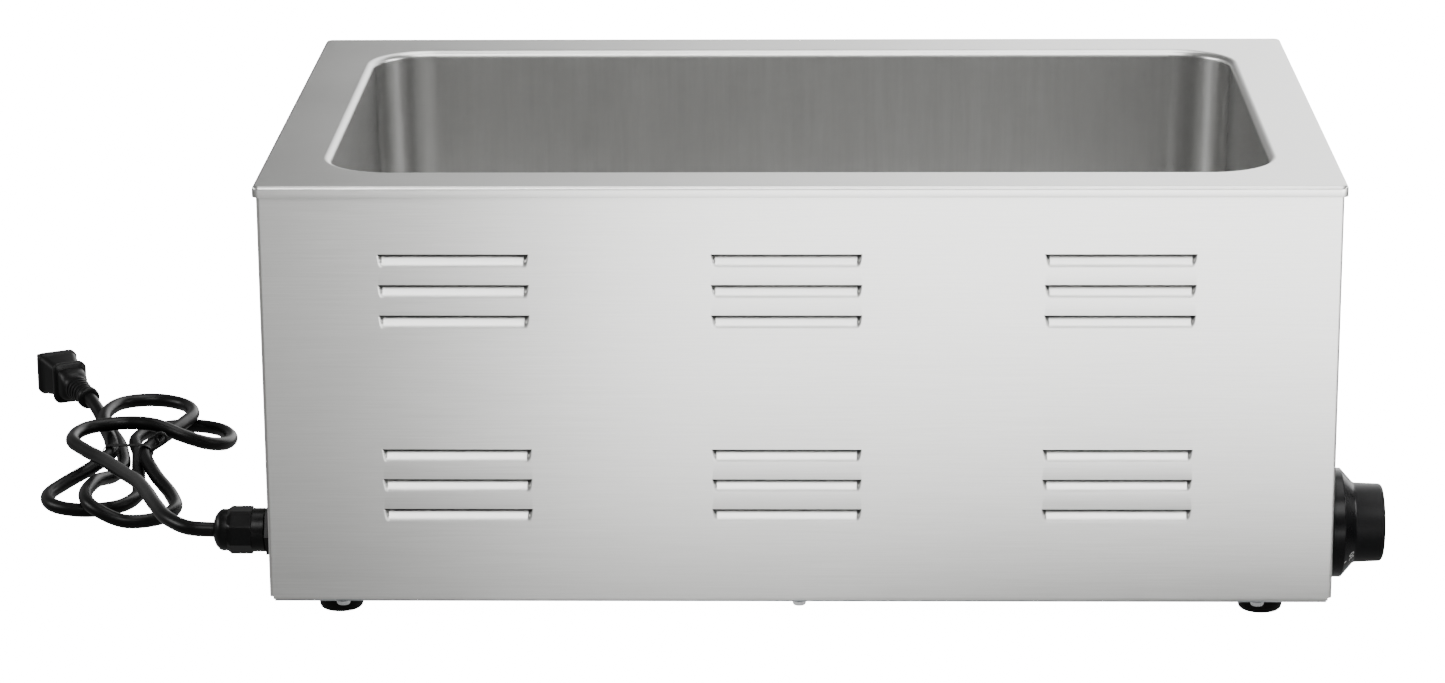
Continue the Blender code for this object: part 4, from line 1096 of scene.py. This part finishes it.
def make_screw(name, node):
    """Pan-head screw, head down, with a crossed drive recess."""
    low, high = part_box(node)
    shape = bmesh.new()
    rim = bmesh.ops.create_circle(shape, segments=32, radius=HEAD_RADIUS * HEAD_FLAT)["verts"]
    rim_edges = list({edge for vert in rim for edge in vert.link_edges})
    arm, half = RECESS_ARM, RECESS_HALF
    corners = [
        (arm, -half), (arm, half), (half, half), (half, arm), (-half, arm), (-half, half),
        (-arm, half), (-arm, -half), (-half, -half), (-half, -arm), (half, -arm), (half, -half),
    ]
    _, cross_edges = draw_ring(shape, [(x, y, 0) for x, y in corners])
    bmesh.ops.triangle_fill(shape, use_beauty=True, edges=rim_edges + cross_edges)
    pit = bmesh.ops.extrude_edge_only(shape, edges=cross_edges)["geom"]
    pit_verts = verts_of(pit)
    bmesh.ops.translate(shape, verts=pit_verts, vec=(0, 0, RECESS_DEPTH))
    bmesh.ops.scale(shape, verts=pit_verts, vec=(0.6, 0.6, 1))
    bmesh.ops.contextual_create(shape, geom=edges_of(pit))
    # the domed head, its flat underside and the shank, from ring to ring
    edges = rim_edges
    shank = SHANK_RADIUS / HEAD_RADIUS
    rings = [
        (0.84, 0.10), (0.94, 0.28), (0.99, 0.52), (1.0, 0.80), (1.0, 0.97), (0.97, 1.0),
        (shank, 1.0), (shank, (high.z - low.z) / HEAD_HEIGHT),
    ]
    radius_now = HEAD_FLAT
    height_now = 0.0
    for radius, height in rings:
        grown = bmesh.ops.extrude_edge_only(shape, edges=edges)["geom"]
        edges = edges_of(grown)
        ring = verts_of(grown)
        scale = radius / radius_now
        bmesh.ops.scale(shape, verts=ring, vec=(scale, scale, 1))
        bmesh.ops.translate(shape, verts=ring, vec=(0, 0, (height - height_now) * HEAD_HEIGHT))
        radius_now, height_now = radius, height
    bmesh.ops.contextual_create(shape, geom=edges)
    face_outwards(shape)
    centre = (low + high) / 2
    bmesh.ops.translate(shape, verts=shape.verts, vec=(centre.x, centre.y, low.z))
    return finish_piece(name, shape, [zinc_plate], (node,), sharp=30)


for corner in range(1, 5):
    make_foot(corner)
    make_screw(f"foot_bolt_{corner}", f"foot_screw_{corner}")
for place in range(1, 7):
    make_screw(f"base_bolt_{place}", f"base_screw_{place}")


# Floor, light and camera

FLOOR_HALF = 60.0
FLOOR_GLOW = 16.0
ROOM_STRENGTH = 0.25
SHEEN_HALF = 4.0


def add_plane(name, half, material):
    """A level square of the given half width at the origin, attached to no body."""
    shape = bmesh.new()
    bmesh.ops.create_grid(shape, x_segments=1, y_segments=1, size=half)
    mesh = bpy.data.meshes.new(name)
    shape.to_mesh(mesh)
    shape.free()
    mesh.materials.append(material)
    plane = add_object(name, mesh)
    return plane


def make_floor():
    """A plain pale floor that glows a little itself, so that it stays white under the part."""
    material, _, shader = start_material("pale_floor", Roughness=0.9, Specular_IOR_Level=0.1)
    shader.inputs["Base Color"].default_value = linear("#f4f4f4")
    shader.inputs["Emission Color"].default_value = linear("#ffffff")
    shader.inputs["Emission Strength"].default_value = FLOOR_GLOW
    floor = add_plane("floor", FLOOR_HALF, material)
    floor.visible_glossy = False
    floor.visible_diffuse = False
    floor.visible_shadow = False
    return floor


def make_sheen(name, place, across, out, near_levels, far_levels, strength):
    """A pale sheet that is seen only in the part's shine, with its own shading across and along.

    Levels run from left to right between the two places across, as (share, level) pairs. The near
    ones hold at the first place out, and the far ones at the second.
    """
    material = bpy.data.materials.new(name)
    material.use_nodes = True
    tree = material.node_tree
    tree.nodes.clear()
    axes = add_node(
        tree,
        "ShaderNodeSeparateXYZ",
        {"Vector": add_node(tree, "ShaderNodeTexCoord").outputs["Object"]},
    )
    shares = [
        add_node(
            tree,
            "ShaderNodeMapRange",
            {"Value": axes.outputs[axis], "From Min": span[0], "From Max": span[1]},
            interpolation_type=kind,
        ).outputs["Result"]
        for axis, span, kind in (("X", across, "LINEAR"), ("Y", out, "SMOOTHSTEP"))
    ]
    ends = []
    for levels in (near_levels, far_levels):
        ramp = add_node(tree, "ShaderNodeValToRGB", {"Fac": shares[0]})
        ramp.color_ramp.interpolation = "EASE"
        while len(ramp.color_ramp.elements) < len(levels):
            ramp.color_ramp.elements.new(0.5)
        for mark, (where, level) in zip(ramp.color_ramp.elements, levels):
            mark.position = where
            mark.color = (level, level, level, 1)
        ends.append(ramp.outputs["Color"])
    level = mixed(tree, shares[1], *ends)
    glow = add_node(tree, "ShaderNodeEmission", {"Color": level, "Strength": strength})
    add_node(tree, "ShaderNodeOutputMaterial", {"Surface": glow.outputs["Emission"]})
    sheet = add_plane(name, SHEEN_HALF, material)
    sheet.matrix_world = place
    sheet.visible_camera = False
    sheet.visible_diffuse = False
    sheet.visible_shadow = False
    return sheet


def add_light(name, place, aim, size, watts):
    """A soft rectangular lamp, turned to its aim."""
    lamp = bpy.data.lights.new(name, "AREA")
    lamp.shape = "RECTANGLE"
    lamp.size, lamp.size_y = size
    lamp.energy = watts
    light = add_object(name, lamp)
    light.location = place
    light.rotation_euler = (Vector(aim) - Vector(place)).to_track_quat("-Z", "Y").to_euler()
    light.visible_camera = False
    return light


make_floor()
make_sheen(
    "floor_sheen", Matrix.Translation((0, 0, -1 * MM)), (-0.5, 0.5), (-0.22, -1.05),
    ((0.0, 0.02), (0.2, 0.04), (0.45, 0.10), (0.75, 0.05), (1.0, 0.01)),
    ((0.0, 0.05), (0.2, 0.14), (0.45, 0.85), (0.75, 0.90), (1.0, 1.0)),
    11.0,
)
make_sheen(
    "back_sheen", Matrix.Translation((0, 4.2, 1.0)) @ Matrix.Rotation(math.pi / 2, 4, "X"),
    (-0.8, 0.8), (-0.1, 0.5),
    ((0.0, 0.10), (0.25, 0.34), (0.5, 0.60), (0.8, 0.95), (1.0, 1.0)),
    ((0.0, 0.04), (0.25, 0.16), (0.5, 0.32), (0.8, 0.65), (1.0, 0.8)),
    4.6,
)
add_light("top_light", (0.4, 0.2, 3.2), (0, 0, 0), (2.4, 2.0), 90)
add_light("front_light", (0.3, -2.3, 2.4), (0, 0, 0.15), (2.8, 1.2), 110)
# low lights at either end reach over the rim to the well's far corners
add_light("left_light", (-2.6, 0.0, 1.05), (0, 0, 0.2), (1.4, 0.6), 34)
add_light("right_light", (2.6, 0.0, 1.05), (0, 0, 0.2), (1.4, 0.6), 34)

world = bpy.data.worlds.new("pale_room")
world.use_nodes = True
background = world.node_tree.nodes["Background"]
background.inputs["Color"].default_value = linear("#ffffff")
background.inputs["Strength"].default_value = ROOM_STRENGTH
bpy.context.scene.world = world

lens = bpy.data.cameras.new("camera")
lens.lens = CAMERA_LENS
lens.sensor_width = SENSOR_WIDTH
camera = add_object("camera", lens)
camera.matrix_world = (
    Matrix.Translation(CAMERA_PLACE)
    @ Matrix.Rotation(math.radians(CAMERA_LEFT), 4, "Z")
    @ Matrix.Rotation(math.radians(90 - CAMERA_DOWN), 4, "X")
    @ Matrix.Rotation(math.radians(CAMERA_ROLL), 4, "Z")
)
bpy.context.scene.camera = camera
